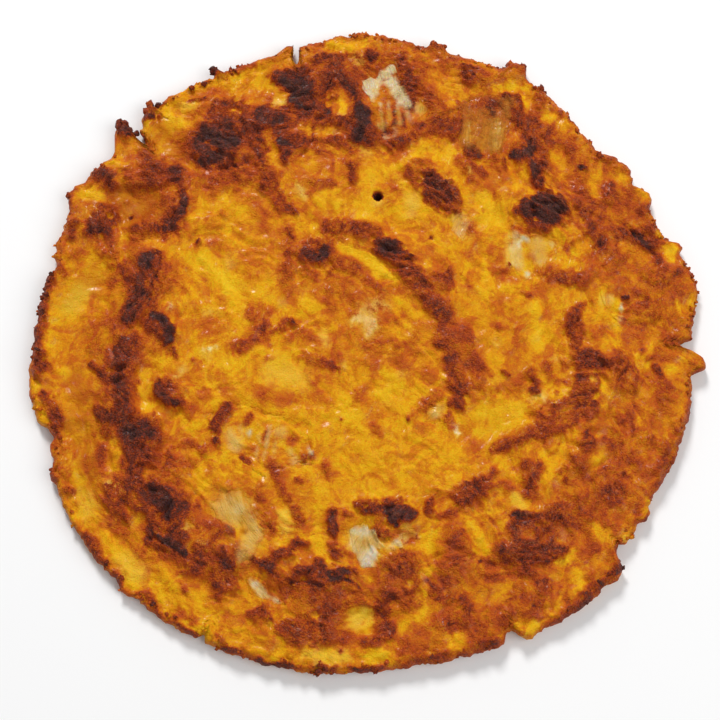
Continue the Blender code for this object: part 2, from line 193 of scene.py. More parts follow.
disc = {
    "middleHeight": 9.6,
    "valleyHeight": 6.6,
    "rimHeight": 7.2,
    "edgeHeight": 2.6,
    "edgeLift": 0.9,
    "shoulder": (0.70, 0.85),
    "rimCrest": 0.955,
    "edgeStart": 0.972,
    "crispEdge": (0.975, 1.0),
    "flatUnderside": 0.88,
    "fineAbove": -0.15,  # the ball's faces are finer above this
    "fineCuts": 7,
    "ballEdge": 0.952,  # where the edge starts on the ball
    "breaksFrom": 0.84,
    "leansFrom": 0.92,
    "rimStep": 10,
    "rimRadii": (
        125.5, 130.0, 123.0, 123.5, 119.6, 122.6, 125.0, 123.4, 124.0,
        127.4, 125.0, 123.6, 125.0, 127.4, 124.5, 129.0, 127.5, 127.6,
        129.0, 131.3, 128.8, 132.2, 132.9, 132.6, 131.6, 130.4, 129.4,
        127.3, 126.4, 127.3, 129.2, 131.0, 126.0, 124.6, 126.6, 126.2,
    ),
    "rimBreaks": {  # angle, half-width, how far out, and how far its tip leans round
        "rightTab": (355.4, 2.4, 5.0), "rightNotch": (358.4, 1.2, -4.6), "rightStep": (16.6, 1.5, 3.2),
        "rightShoulder": (27.4, 2.4, 2.6), "shoulderLobe": (35.0, 4.4, 3.0),
        "upperKnob": (61.4, 2.6, 4.6), "topKnob": (76.8, 2.2, 3.0), "topSlit": (104.0, 1.3, -6.5),
        "leafTip": (106.2, 1.4, 2.4, -4.5), "charredBead": (118.8, 0.9, 2.6),
        "thinCrumb": (132.5, 0.8, 3.4), "upperLeftLobe": (134.4, 1.9, 2.4),
        "leftNotch": (138.1, 1.2, -5.4), "leftTab": (141.0, 2.5, 6.8, -5.0),
        "leftLobe": (153.6, 3.0, 2.8), "leftDip": (167.0, 2.2, -2.2), "lowerLeftDip": (197.6, 2.4, -2.6),
        "lowerLeftCorner": (204.6, 1.7, 2.2), "lowerCorner": (227.4, 1.5, 1.6),
        "lowerNotch": (242.0, 0.9, -2.8), "lowerRightNotch": (294.9, 1.8, -4.2),
        "lowerRightTab": (297.8, 1.3, 1.6), "foldedLip": (315.0, 2.8, 2.8, 2.0),
        "lipNotch": (318.9, 1.6, -2.2), "rightLobe": (326.4, 2.0, 2.0),
    },
    "ragged": ((0.7, 5.0, 9), (0.5, 1.3, 11)),  # reach, spacing, layer
    "scallops": (1.5, 2.1, 10),
    "scallopLevel": 0.35,
    "noiseSeed": 37.0,
    "lumpSoftness": 3.0,
    "randomRelief": 0.55,
    "randomSpacing": 17.0,
    "lumps": (  # height, then a run of (x, y, radius)
        (1.5, (-32, 103, 7), (-22, 108, 10), (-13, 104, 7)),
        (1.5, (-64, 79, 9), (-54, 80, 8), (-49, 89, 7)), (0.8, (-38, 88, 5), (-32, 89, 4)),
        (0.9, (-45, 79, 3), (-40, 65, 3)), (1.3, (-76, 65, 5), (-72, 54, 5), (-78, 46, 5), (-89, 43, 4)),
        (1.0, (-103, 66, 6), (-87, 66, 6)), (1.2, (-116, 45, 5), (-105, 46, 6)),
        (1.6, (-84, 33, 4), (-88, 24, 5), (-90, 8, 5)), (1.3, (-82, 9, 5), (-77, 0, 4)),
        (1.7, (-95, -4, 6), (-96, -18, 6), (-94, -30, 7), (-89, -50, 6)),
        (1.0, (-83, -36, 5), (-84, -46, 5)), (1.0, (-77, -24, 5), (-72, -22, 4)),
        (1.7, (-95, -61, 8), (-80, -63, 8), (-72, -74, 8), (-63, -87, 6)),
        (0.9, (-53, -82, 6), (-52, -93, 7)), (0.7, (-38, -90, 4), (-26, -82, 5)),
        (1.1, (-22, -92, 7), (-9, -95, 8), (-18, -106, 12), (-32, -110, 8)),
        (1.2, (-12, -72, 4), (0, -68, 5), (15, -71, 6)), (1.1, (20, 69, 6), (28, 61, 8), (35, 54, 5)),
        (1.4, (58, 53, 6), (68, 52, 7), (76, 53, 5), (70, 64, 5), (62, 74, 6)),
        (1.4, (-2, 94, 5), (-1, 83, 5), (-10, 92, 4)),
        (1.0, (-6, 43, 6), (8, 37, 5), (18, 25, 7), (29, 13, 7)),
        (1.1, (18, 108, 6), (22, 102, 7), (30, 95, 6)), (0.9, (44, 109, 6), (60, 110, 6)),
        (0.9, (88, 47, 6), (91, 36, 6), (108, 38, 6)), (0.9, (100, 24, 9), (116, 24, 8), (108, 14, 8)),
        (0.7, (74, 23, 6), (82, 22, 7), (81, 6, 6)), (1.1, (88, -10, 8), (85, -25, 8), (70, -29, 5)),
        (0.9, (54, -43, 4), (68, -38, 4), (83, -33, 6), (82, -47, 6)),
        (0.9, (62, -47, 6), (64, -56, 6), (92, -60, 9)), (1.2, (56, -78, 9), (68, -74, 8), (62, -86, 9)),
        (0.9, (26, -64, 6), (40, -60, 7), (46, -56, 4)), (0.9, (12, -88, 9), (8, -99, 8), (14, -104, 6)),
        (0.8, (33, -82, 6), (38, -100, 9), (60, -100, 8)),
        (0.8, (113, -27, 8), (107, -45, 9), (115, -12, 5)),
    ),
    "hollows": (
        (1.4, (-108, 24, 9), (-112, 12, 9), (-115, -14, 7)),
        (1.6, (-111, -40, 6), (-107, -63, 7), (-91, -87, 7), (-76, -102, 5)),
        (1.8, (-96, 53, 9), (-86, 53, 6)), (1.4, (-80, 82, 7), (-80, 92, 5)),
        (1.4, (-70, 101, 4), (-46, 107, 6)), (0.7, (-62, 26, 10), (-54, 18, 9)),
        (0.8, (-16, 120, 7), (-2, 120, 7)), (1.0, (38, -36, 6), (52, -31, 9)),
        (0.5, (14, 48, 10), (46, 50, 8)), (0.7, (46, 28, 8), (70, 32, 8)),
        (1.3, (-84, -16, 4), (-85, -27, 4)), (1.3, (-6, -110, 5), (3, -110, 5)),
        (0.8, (44, -74, 4), (47, -84, 4)), (0.9, (57, 105, 6), (65, 100, 5)),
    ),
}


def smooth(low, high, value):
    share = np.clip((value - low) / (high - low), 0, 1)
    return share * share * (3 - 2 * share)


def mix(first, second, share):
    return first + (second - first) * share


def wavy(x, y, spacing, layer=0.0):
    seed = disc["noiseSeed"] + layer
    return np.array([noise.noise(Vector((a, b, seed))) for a, b in zip(x / spacing, y / spacing)])


def layered(x, y, spacing, layer=0.0, octaves=4, calm=0.9):
    seed = disc["noiseSeed"] + layer
    return np.array([noise.fractal(Vector((a, b, seed)), calm, 2.1, octaves, noise_basis="PERLIN_ORIGINAL")
                     for a, b in zip(x / spacing, y / spacing)])


def roundRadius(angle):
    radii = np.array(disc["rimRadii"])
    place = np.mod(angle, 360) / disc["rimStep"]
    start = np.floor(place).astype(int)
    share = place - start
    before, here, after, beyond = (radii[(start + step) % len(radii)] for step in (-1, 0, 1, 2))
    square, cube = share**2, share**3
    return (here * (2 * cube - 3 * square + 1) + (after - before) / 2 * (cube - 2 * square + share)
            + after * (3 * square - 2 * cube) + (beyond - here) / 2 * (cube - square))


def rimBreak(angle):
    out, lean = np.zeros(len(angle)), np.zeros(len(angle))
    for middle, halfWidth, reach, *tipLean in disc["rimBreaks"].values():
        away = np.abs(np.mod(angle - middle + 180, 360) - 180)
        strength = smooth(1, 0.3, away / halfWidth)
        out += reach * strength
        lean += sum(tipLean) * strength
    around = np.radians(angle)
    x, y = disc["rimRadii"][0] * np.cos(around), disc["rimRadii"][0] * np.sin(around)
    for reach, *form in disc["ragged"]:
        out += reach * wavy(x, y, *form)
    reach, *form = disc["scallops"]
    out += reach * (disc["scallopLevel"] - np.abs(wavy(x, y, *form)))
    return out, lean


def discPoints(share, angle):
    out, lean = rimBreak(angle)
    radius = share * roundRadius(angle) + smooth(disc["breaksFrom"], 1, share) * out
    around = np.radians(angle) + smooth(disc["leansFrom"], 1, share) * lean / np.maximum(radius, 1)
    return radius * np.cos(around), radius * np.sin(around)


def shareOf(x, y):
    return np.hypot(x, y) / roundRadius(np.degrees(np.arctan2(y, x)))


def nearSegment(x, y, start, end):
    # how far along a segment a place lies, from 0 to 1, and how far away from it
    alongX, alongY = end[0] - start[0], end[1] - start[1]
    share = ((x - start[0]) * alongX + (y - start[1]) * alongY) / (alongX**2 + alongY**2)
    share = np.clip(share, 0, 1)
    return share, np.hypot(x - start[0] - share * alongX, y - start[1] - share * alongY)


def runReach(x, y, run):
    # how deep a place lies inside a run of round blobs
    if len(run) == 1:
        return run[0][2] - np.hypot(x - run[0][0], y - run[0][1])
    best = np.full(len(x), -farAway)
    for start, end in zip(run, run[1:]):
        share, away = nearSegment(x, y, start, end)
        best = np.maximum(best, mix(start[2], end[2], share) - away)
    return best


def plainRelief(x, y):
    soft = disc["lumpSoftness"]
    up, down = np.zeros(len(x)), np.zeros(len(x))
    for height, *run in disc["lumps"]:
        up = np.maximum(up, height * smooth(-soft, soft, runReach(x, y, run)))
    for depth, *run in disc["hollows"]:
        down = np.maximum(down, depth * smooth(-soft, soft, runReach(x, y, run)))
    random = wavy(x, y, disc["randomSpacing"]) + 0.5 * wavy(x, y, disc["randomSpacing"] / 2, 3)
    return up - down + disc["randomRelief"] * random


def faceSection(share):
    section = mix(disc["middleHeight"], disc["valleyHeight"], smooth(*disc["shoulder"], share))
    risen = disc["rimHeight"] - disc["valleyHeight"]
    return section + risen * smooth(disc["shoulder"][1], disc["rimCrest"], share)


def overEdge(height, share):
    past = np.maximum(share - disc["edgeStart"], 0) / (1 - disc["edgeStart"])
    return mix(disc["edgeHeight"], height, np.sqrt(np.maximum(1 - past**2, 0)))


# browning, with painted shade and light in some of the tables: painted as runs of (x, y, radius), later ones
# over earlier ones

washes = (  # how toasted, softness, run
    (0.52, 9, (100, 60, 20), (115, 10, 18), (110, -45, 20), (75, -90, 24), (30, -106, 20), (-10, -105, 16)),
    (0.5, 8, (-24, 112, 14), (28, 108, 18), (75, 85, 18)),
    (0.52, 8, (-84, 70, 12), (-60, 72, 16), (-30, 82, 15), (4, 86, 12)),
    (0.52, 7, (-84, 44, 9), (-92, 0, 12), (-92, -40, 13), (-80, -65, 14), (-58, -86, 12)),
    (0.47, 8, (-104, 66, 10), (-114, 44, 10), (-120, 34, 5)),
    (0.3, 6, (-114, 0, 8), (-112, -30, 8), (-106, -62, 8), (-90, -88, 8), (-74, -102, 6)),
    (0.24, 12, (-10, -40, 28), (20, -42, 22)), (0.3, 10, (-60, 40, 16), (-35, -15, 22)),
    (0.43, 9, (-14, 26, 16), (10, 12, 16), (34, -4, 12), (-14, 0, 12)),
    (0.38, 9, (52, 4, 14), (60, -12, 12)), (0.42, 7, (-16, 66, 12), (-42, 54, 9)),
)
strokes = (  # the same again, in finer strokes
    # middle
    (0.38, 5, (-42, 38, 6), (-36, 40, 5)), (0.2, 5, (-43, 26, 4), (-41, 18, 5)),
    (0.36, 1.8, (-46, 42, 4.5), (-44, 35, 6), (-43, 27, 5)),
    (0.48, 2.5, (-32, 42, 3), (-30, 33, 3), (-32, 25, 4), (-31, 19, 2.5)),
    (0.64, 1.5, (-31, 43, 1.8), (-30, 40, 1.5)), (0.58, 1.5, (-30, 33, 2), (-31, 28, 1.5), (-32, 24, 2)),
    (0.6, 2, (-25, 33, 3), (-21, 37, 3), (-16, 37, 3), (-14, 32, 3), (-20, 31, 3)),
    (0.9, 1.2, (-24.5, 34, 1.8), (-22, 32, 1.8), (-19, 31.5, 1.4)),
    (0.96, 1.2, (-18, 34, 1.8), (-16.5, 33, 1.8)), (0.56, 1.5, (-24.5, 27, 1.8), (-21, 24, 2.2)),
    (0.52, 2, (-14, 25, 2), (-15, 17, 2.2), (-14, 12, 2)), (0.82, 1.2, (-13.5, 27, 1.7)),
    (0.56, 2, (-12, 31, 2.5), (-7, 29, 4), (-3, 26, 2)), (0.48, 2, (-9, 22, 3), (-8, 18, 2)),
    (0.64, 2, (-15, 44, 3), (-8, 44, 3.5), (-2, 43, 4), (4, 42, 2.5)),
    (0.8, 1.5, (-4, 42.5, 2), (-1, 44, 1.5)), (0.5, 1.5, (-9, 39.5, 1.2), (-5, 38.5, 1)),
    (0.1, 1.2, (-11, 36, 0.8), (-5, 34, 1.6), (1, 31, 2.8), (6, 26, 3), (10, 23.5, 1.8)),
    (0.52, 1.5, (0, 22.5, 1.6), (4, 20, 1.6)),
    (0.84, 1.8, (6, 36, 3.2), (10, 34.5, 3.6), (14, 30.5, 3.8), (16.5, 28.5, 1.6)),
    (0.97, 1.5, (7, 36, 2), (9, 37, 1.2)), (0.96, 1.5, (12, 31, 2.4), (14.5, 29.5, 2.2)),
    (0.64, 2.4, (12, 30, 3.4), (18, 24, 4.6), (23, 17, 4.6), (28, 10.5, 3.6)),
    (0.64, 2, (17, 25, 3), (21, 22, 4), (22.5, 17, 3.6), (26, 12, 3.4), (29, 9, 2.8)),
    (0.78, 1.2, (20, 24.5, 1.4), (22, 22, 1.2)), (0.76, 1.2, (21.5, 14.5, 1.6), (26, 12, 1.4)),
    (0.85, 1.2, (28.5, 8.5, 1.9)), (0.57, 2, (25, 24, 2.4), (29, 20, 3), (32, 25, 1.8), (32, 20, 1.8)),
    (0.64, 1.2, (32, 27, 1), (32, 20, 1.2)), (0.5, 1.5, (12, 19, 1.4), (16, 17, 1.4)),
    (0.5, 1.5, (4, 3, 2.3), (7, 5.5, 2.3)), (0.47, 2, (1.5, -3.5, 2.4), (5, -4, 2.4)),
    (0.56, 1.2, (11, 6, 1.3), (13, 3.5, 1.1)), (0.52, 1, (11, -4.3, 1)),
    (0.48, 1.5, (-5, 16, 1.8), (-4, 12.5, 1.8)), (0.14, 2.5, (-25, 14, 2), (-22, 10, 3), (-26, 8, 1.6)),
    (0.5, 2, (-43, 11, 2.4), (-38, 10.5, 2)), (0.56, 2, (-41, 5, 2.4), (-40, 1, 3), (-39, -3, 2)),
    (0.53, 2.2, (-44, 9, 2.8), (-40, 3, 3.6), (-45, -3, 3.2), (-50, -5, 2.6)),
    (0.6, 1.5, (-33, 4, 1.8), (-31, 7, 1.4), (-28.5, 5.5, 1.8)), (0.82, 1, (-28, 5.2, 1.1)),
    (0.52, 2, (-24, 1.5, 2), (-28, 1, 2.4), (-31, -2, 2.2), (-32, -4.5, 1.2)),
    (0.24, 2, (-17, 0.5, 2), (-16, -3, 1.4)),
    (0.62, 1.8, (-25, -8, 1.4), (-21, -10, 1.9), (-16, -11, 2.1), (-11, -13, 1.8)),
    (0.17, 3, (-42, -6, 2), (-36, -14, 4.5), (-29, -15, 5), (-25, -18, 2.6)), (0.46, 1.5, (-38.5, -9, 1.3)),
    (0.45, 2.5, (-38, -24, 3.4), (-32, -25, 2.4), (-26, -25, 2)),
    (0.42, 2.5, (-21, -15, 2), (-20, -22, 2.6), (-15, -26, 2.4)),
    (0.13, 2.2, (-8, -26, 2), (-9, -31, 3.6), (-3, -32, 2.2)), (0.66, 0.7, (-10, -33, 0.5)),
    (0.48, 1.8, (-1, -20, 1.3), (-4, -24, 1.8)), (0.5, 1.8, (3, -36, 1.3), (5, -39, 1.8)),
    (0.16, 2.5, (9, -16, 2.4), (13, -21, 3), (18, -23, 2.6), (16, -28, 2.2)),
    (0.57, 2, (28, -1, 2), (32, 0, 2.8), (37, 1, 3), (38, -4, 3.4), (33, -5, 3)),
    (0.55, 2.5, (38, -8, 4), (42, -13, 4), (43, -19, 3)),
    (0.58, 2.2, (31, 3, 4.4), (34, -4, 5), (34, -12, 4.6), (35, -20, 4), (35, -26, 2.8)),
    (0.72, 1.5, (27.5, -3.5, 1.8), (30, -5, 1.6)), (0.84, 1.2, (31.5, -9.5, 1.7)),
    (0.64, 1.8, (31, -13, 2), (34, -17, 2.4), (36, -22, 2.2), (35, -27, 2)), (0.74, 1.2, (35, -26.5, 1.5)),
    (0.44, 1.2, (21, -11, 1), (26, -16, 1.3)), (0.2, 0.8, (20, -3, 0.6), (25, -9, 0.9), (29.5, -16.5, 0.6)),
    (0.52, 1.8, (28, -22, 2.2), (24, -26, 2), (20, -29, 1.8), (17, -32, 1.6)), (0.72, 0.8, (15.8, -33, 0.8)),
    (0.42, 1.8, (19, -35, 1.6), (22, -38, 1.8)), (0.54, 1.5, (31, -27, 1.5), (31, -33, 1.6), (32, -36, 1.3)),
    (0.5, 1.8, (20, 3, 1.8), (25, 4, 1.3)), (0.22, 2, (12, 14, 2), (17, 8, 2.4), (13, 0, 1.6)),
    # far side
    (0.52, 2, (-37, 116, 2.4), (-32, 120.5, 2.2), (-29.5, 124, 1)), (0.86, 0.8, (-28.8, 124, 0.7)),
    (0.16, 2.5, (-43, 109, 4), (-41, 105, 4)), (0.26, 2, (-43, 99, 3)),
    (0.24, 1.5, (-36, 98, 1.8), (-33, 96.5, 1.8)),
    (0.82, 2, (-35, 107, 3), (-27, 108, 3), (-22, 103, 3.5), (-28, 97, 3)),
    (1, 1.8, (-33, 105, 2.2), (-28, 103, 3.6), (-24.5, 103, 2.4)), (0.98, 1.5, (-29, 98, 1.8)),
    (0.7, 2, (-19, 108, 3), (-15, 105, 3), (-18, 101, 3)), (0.8, 1.5, (-16, 98.5, 1.6), (-13, 99, 1.4)),
    (0.78, 1.5, (-24, 111, 1.6), (-20, 115, 1.6), (-15, 117.5, 1.6), (-11, 113, 1.6)),
    (0.72, 1.5, (-17, 113, 1.4), (-12, 113, 1.4)),
    (0.75, 1.8, (-11, 109, 1.8), (-8, 104, 2.4), (-4, 98, 2.2), (-3, 94, 2)),
    (0.66, 2, (-30, 92, 2), (-24, 92, 2.4), (-18, 90, 2), (-8, 88, 2.2)),
    (0.8, 1.5, (-27, 94, 1.4), (-21, 95.5, 1.6), (-16, 94, 1.8), (-15.5, 91, 1.4)),
    (0.22, 1, (-10.5, 97.5, 1.3), (-9, 94, 2.2), (-11, 92.5, 1.3)),
    (0.42, 2, (-23, 120, 2.4), (-12, 126, 2), (2, 124, 3), (10, 123, 3), (16, 121, 3)),
    (0.17, 2.2, (-14, 121, 2.6), (-8, 120, 3.2), (-2, 121, 2.4)), (0.6, 2, (-7, 109, 2.4), (-5, 104, 2)),
    (0.8, 1.5, (2, 116, 2.4)), (0.62, 1.5, (1, 112, 1.8), (5, 112, 1.6)),
    (0.5, 1.5, (13, 107, 1.6), (10, 110, 1)),
    (0.69, 2, (14, 117, 2), (16, 108, 2.8), (19, 102, 3.4), (18, 96.5, 1.8)), (0.84, 1.2, (18, 95.5, 1.2)),
    (0.62, 1.8, (22, 101, 2), (26, 97, 1.8), (29, 94, 1.6)), (0.38, 1.5, (21, 95, 1.4), (24, 92.5, 1.4)),
    (0.41, 4, (30, 107, 7), (39, 102, 5), (27, 115, 3)), (0.33, 2, (34, 98, 2.6), (42, 97, 2)),
    (0.64, 1.8, (26, 121.5, 2.6), (31, 121, 1.8)), (0.46, 2, (35, 117, 2.4), (20, 119, 2)),
    (0.72, 2, (41, 109, 3.4)), (0.72, 1, (39, 113, 0.8), (44, 112, 0.8)),
    (0.57, 2.5, (21, 85.5, 3), (28, 90, 4.4), (33, 86, 3.6)), (0.72, 1.4, (28, 88.5, 1.6), (29, 86.5, 1)),
    (0.74, 1.4, (32.5, 85, 1.8)), (0.54, 1.5, (21, 87, 1), (26, 84.5, 1.4), (30, 83, 1)),
    (0.64, 0.8, (36, 97, 0.7), (37, 90, 0.7), (36, 83, 0.7)),
    (0.97, 1.6, (-3, 94, 2), (-1.5, 91, 2.8), (-1, 86, 3), (-3, 82, 2.6)),
    (0.8, 1.5, (1, 80, 1.6), (2, 85, 1.6)), (0.46, 2.5, (8, 90, 4), (10, 85, 4), (15, 86, 3)),
    (0.68, 2, (12, 79, 2.8), (8, 77, 1.8), (15, 80, 2)), (0.58, 1.5, (17, 83, 2), (19, 81, 1.4)),
    (0.4, 1.2, (0, 71.5, 1), (7, 71.5, 1.2), (13, 74, 1.2), (19, 78.5, 1.2)),
    (0.3, 1.8, (-3, 77, 1.6), (0, 75, 1.4)), (0.9, 1.8, (-43, 91, 2.4), (-38, 89, 2.6), (-34, 89, 1.6)),
    (0.84, 1.5, (-43, 86, 2)), (0.66, 1.8, (-32, 93, 1.6), (-28, 90, 1.6)),
    (0.5, 2, (-39, 84, 2), (-32, 85, 2), (-26, 86, 2)), (0.98, 1.2, (-34.5, 80, 1.5), (-32, 79, 1.5)),
    (0.84, 1.2, (-31.5, 76, 1), (-33, 72.5, 1.4)), (0.27, 1.5, (-38, 77, 1.6), (-36.5, 71, 1.6)),
    (0.75, 1.5, (-44, 83, 1.5), (-42.5, 75, 1.7), (-40, 66, 1.6), (-41, 59, 1.3)),
    (0.62, 1.8, (-47, 84, 1.4), (-44, 77, 2), (-41, 69, 2.4), (-38, 61, 2.2), (-34, 54, 2)),
    (0.64, 1.5, (-38, 68, 1.1), (-36, 60, 1.5), (-32, 54, 2.2), (-29, 50, 1.7)),
    (0.6, 1.3, (-28, 80, 1.2), (-25, 77, 1.5), (-20, 76, 1.2)), (0.36, 2, (-23, 84, 1.8), (-12, 84, 1.8)),
    (0.66, 1.5, (-15, 81, 1.2), (-11, 80.5, 1.6), (-7, 77, 2)),
    (0.62, 1.5, (-6.5, 71, 1.2), (-5, 64.5, 1.7)),
    (0.4, 3, (-24, 73, 3), (-21, 66, 4), (-13, 66, 4), (-12, 73, 3.4)),
    (0.52, 2, (-22, 62.5, 2.2), (-14, 62.5, 1.8)), (0.17, 2.6, (-18, 56, 3), (-8, 55, 3.4), (0, 51, 3)),
    (0.19, 2.4, (1, 65, 2.8), (6, 67, 2), (16, 62, 2.4), (14, 53, 3.4)),
    (0.43, 1.4, (4, 62, 1.2), (9, 62, 1.5), (12, 58, 1.2)),
    (0.15, 2, (12, 69.5, 1.6), (17, 73, 2.2), (22, 78, 2.2)), (0.13, 2, (26, 76, 1.8), (33, 74, 2.2)),
    (0.56, 1.8, (20, 71, 3), (18, 66, 3.2), (20, 62, 2)),
    (0.66, 1.8, (24, 67, 2.8), (24, 56, 2), (31, 51.5, 2.6), (36, 53, 2.4), (33, 61, 2)),
    (0.85, 1.8, (25.5, 63.5, 3.2), (28, 60, 4.2), (25, 58, 2.2), (32, 57, 2.8)),
    (0.56, 1.6, (41, 70, 2), (45, 66.5, 2.6), (41, 64, 1.6)),
    (0.47, 1.8, (36, 72.5, 1.8), (39, 68, 1.4), (43, 65, 1.8)),
    # far left
    (0.42, 2, (-98, 76, 2.4), (-97, 80, 2.8), (-100, 82, 1.6)), (0.6, 1.2, (-100, 87.5, 1.4)),
    (0.93, 1.2, (-98, 86, 1.5), (-95, 84.5, 1.8)), (0.62, 1.2, (-87.5, 98, 1.5), (-86, 94, 1.3)),
    (0.76, 1, (-85, 95.5, 1), (-82, 97, 1)), (0.84, 1, (-88.5, 91, 1.2), (-84, 91.5, 1.4)),
    (0.58, 1.2, (-85.5, 88, 1.2)), (0.4, 1.5, (-82, 99, 1.4), (-76, 100, 1.4)),
    (0.19, 2.2, (-80, 93, 3), (-78, 88, 3), (-73, 88, 2)),
    (0.28, 2.2, (-84, 84, 2.6), (-79, 83, 2.4), (-82, 78, 2.6)),
    # the first run on the next line is painted shade, the amber-orange on the shaded side of a lump
    (0.4, 2.5, (-79, 78, 1.8), (-76, 73, 2.4), (-70, 69, 2)), (0.2, 1.8, (-75, 101.5, 1.8), (-70, 103.5, 2)),
    (0.62, 0.8, (-70, 106.3, 0.8)), (0.72, 0.8, (-66, 107.3, 0.7)),
    (0.9, 1, (-62.5, 110, 1.2), (-60.5, 112.3, 1.2)), (0.64, 1, (-59.5, 110, 1.2), (-56, 112.5, 1)),
    (0.17, 2, (-65, 103, 2.2), (-55, 105.5, 2.6), (-48, 108.5, 2.8)),
    (0.11, 1.2, (-53, 107.5, 1.2), (-46, 109, 1.4)), (0.33, 1.6, (-62, 100.5, 1.4), (-50, 100.5, 1.6)),
    (0.44, 1.5, (-52, 112, 1.2), (-46, 114, 1.6)), (0.25, 1.6, (-74, 95, 1.6), (-69, 95.5, 1.6)),
    # the first run on the next line is a painted shadow, a dark line under the pale fleck at (-74, 95)
    (0.62, 1, (-72, 97.6, 0.6), (-65, 98.3, 0.7)), (0.44, 2, (-66, 94, 2.4)),
    (0.63, 2, (-62, 91, 2.6), (-59, 95, 2.6), (-52, 97, 2.4), (-48, 93, 2.2)),
    (0.66, 2.2, (-60, 86, 3), (-54, 90, 3)), (0.84, 1.6, (-57, 89, 1.6), (-55, 84, 2.2), (-52, 79, 2)),
    (0.72, 1.6, (-50, 91, 1.6), (-47, 86, 1.8)),
    (0.78, 2, (-68, 78, 3), (-64, 84, 2.6), (-56, 84, 2.6), (-55, 75, 3.4), (-63, 72, 3)),
    (0.94, 1.6, (-64, 83.5, 1.4), (-61, 80.5, 2), (-57, 79, 1.8), (-53.5, 79.5, 1.6)),
    (0.9, 1.6, (-67, 77, 1.6), (-63, 74, 2.2), (-64.5, 71.5, 2)),
    (0.7, 1.6, (-58, 72, 1.6), (-55, 70.5, 1.4)), (0.6, 2, (-71.5, 77, 1.8)),
    (0.52, 2, (-66, 66.5, 1.6), (-60, 64, 2.2), (-52, 62, 2)), (0.66, 2, (-76, 65, 2.8), (-74, 60, 1.8)),
    (0.88, 1.3, (-76, 67, 1.8), (-75.5, 64, 1.8)),
    (0.76, 1.6, (-73, 57, 1.8), (-72.5, 52, 2.4), (-75, 48, 2.4), (-79, 46.5, 2)),
    (0.87, 1.2, (-72, 55, 1.2), (-72, 50, 1.2)),
    (0.62, 2.4, (-88, 75, 2.4), (-86, 69, 4), (-86, 63, 4), (-89, 61, 2.8)),
    (0.3, 1.8, (-79, 73, 1.8), (-80, 77, 2.2)), (0.66, 1.2, (-84, 70, 1.2), (-84.5, 62, 1.3)),
    (0.64, 2, (-108, 65, 2), (-104, 68, 2.6), (-102, 62, 2.8), (-100, 58, 1.6)),
    (0.78, 1.5, (-104.5, 66.5, 1.9), (-102, 65, 1.4)), (0.57, 1.5, (-95, 68, 1.4), (-94, 65, 1.6)),
    (0.25, 2, (-105, 72.5, 1.6), (-99, 72, 1.8)),
    (0.46, 1.5, (-116, 60, 1.4), (-112, 62.5, 1.2), (-108, 63.5, 1.2)), (0.58, 1.2, (-117.5, 57, 1.2)),
    (0.18, 2, (-113, 57.5, 2), (-106, 57.5, 2)), (0.58, 1.5, (-115.5, 51, 1.5), (-113, 49, 1.5)),
    (0.62, 1.8, (-105, 51.5, 2.2), (-100, 50, 2)),
    (0.29, 2.4, (-97, 56, 3), (-91, 55, 3), (-94, 50, 3.2), (-87, 53, 2)),
    (0.42, 2, (-83, 56, 2.4), (-82, 50, 2)), (0.25, 2, (-66, 57, 2), (-68, 49, 2)),
    (0.22, 2, (-64, 52, 1.8), (-56, 56, 2.2), (-50, 50, 2.4)), (0.52, 1.2, (-57, 50, 1.3)),
    # left
    (0.66, 2, (-109, 44, 2.4), (-103, 45, 2.8), (-99, 47, 1.8)), (0.68, 2, (-107, 49, 2.4), (-101, 46, 2.4)),
    (0.83, 1.6, (-108, 43, 2.6), (-103, 42, 2.2)),
    (0.66, 1.6, (-91, 44, 1.6), (-84, 44, 1.8), (-76, 43.5, 2.4)),
    (0.82, 1.4, (-81, 43.5, 1.4), (-77, 43.5, 1.9)), (0.68, 1.8, (-116, 45, 2.2), (-115.5, 40, 2)),
    (0.56, 1.8, (-100, 37, 1.8), (-98.5, 32, 1.8)), (0.44, 3, (-108, 37, 4), (-117, 34, 3)),
    (0.24, 1, (-122, 35, 1)), (0.55, 1.8, (-120, 28, 1.8), (-117.5, 25.5, 1.6)),
    (0.7, 1.8, (-124, 24, 2), (-125.5, 18, 2), (-127, 11, 2.2), (-128, 3, 2.4), (-127.5, -4, 2.4),
        (-127, -11, 2.2)),
    (0.2, 2.8, (-117, 13, 4), (-113, 18, 4.4), (-107, 24, 4), (-109, 30, 2.4)), (0.08, 1.4, (-115, 12, 1.4)),
    (0.27, 2, (-119, 7.5, 2.2), (-113, 6, 2)), (0.44, 3, (-108, 4, 3), (-104, 2, 3.4), (-105, -5, 3.4)),
    (0.34, 2.5, (-118, -3, 3)), (0.13, 1.8, (-115.5, -13, 1.8), (-115.5, -17, 2.2)),
    (0.28, 2.8, (-112, -20, 3.4), (-111, -27, 4)), (0.22, 2.2, (-108, -36, 2.4), (-107, -44, 2.8)),
    (0.7, 1.6, (-128.5, -8, 1.6), (-124.5, -11, 2), (-127, -15, 1.4)),
    (0.62, 2, (-124, -24, 2.2), (-121, -27, 2.4), (-119, -33, 2.6), (-118, -38, 1.8)),
    (0.48, 1.8, (-119, -42, 1.8)), (0.48, 3, (-98, 24, 2.8), (-98, 14, 3.4), (-95, 6, 2)),
    (0.58, 1.8, (-96, 28, 1.6), (-94, 21, 1.6)),
    (0.66, 2, (-86, 30, 4), (-88, 20, 4.6), (-91, 10, 4.2), (-84, 24, 3)),
    (0.95, 1.3, (-82.5, 33.5, 1.1), (-86, 31.5, 2.2), (-86.5, 28, 2.2)),
    (0.87, 1.5, (-88, 24, 1.9), (-88.5, 20, 2.2), (-88, 16, 2.8), (-91, 12, 2.2), (-92, 8, 2)),
    (0.74, 1.4, (-84, 26, 1.7), (-82, 23, 1.6)), (0.55, 1.6, (-80, 18, 1.7), (-79, 28, 1.6)),
    (0.66, 1.5, (-85, 14, 1.5), (-83, 10, 1.8)), (0.72, 1.6, (-83, 4, 2), (-80, 2, 2.4), (-78, -1.5, 2)),
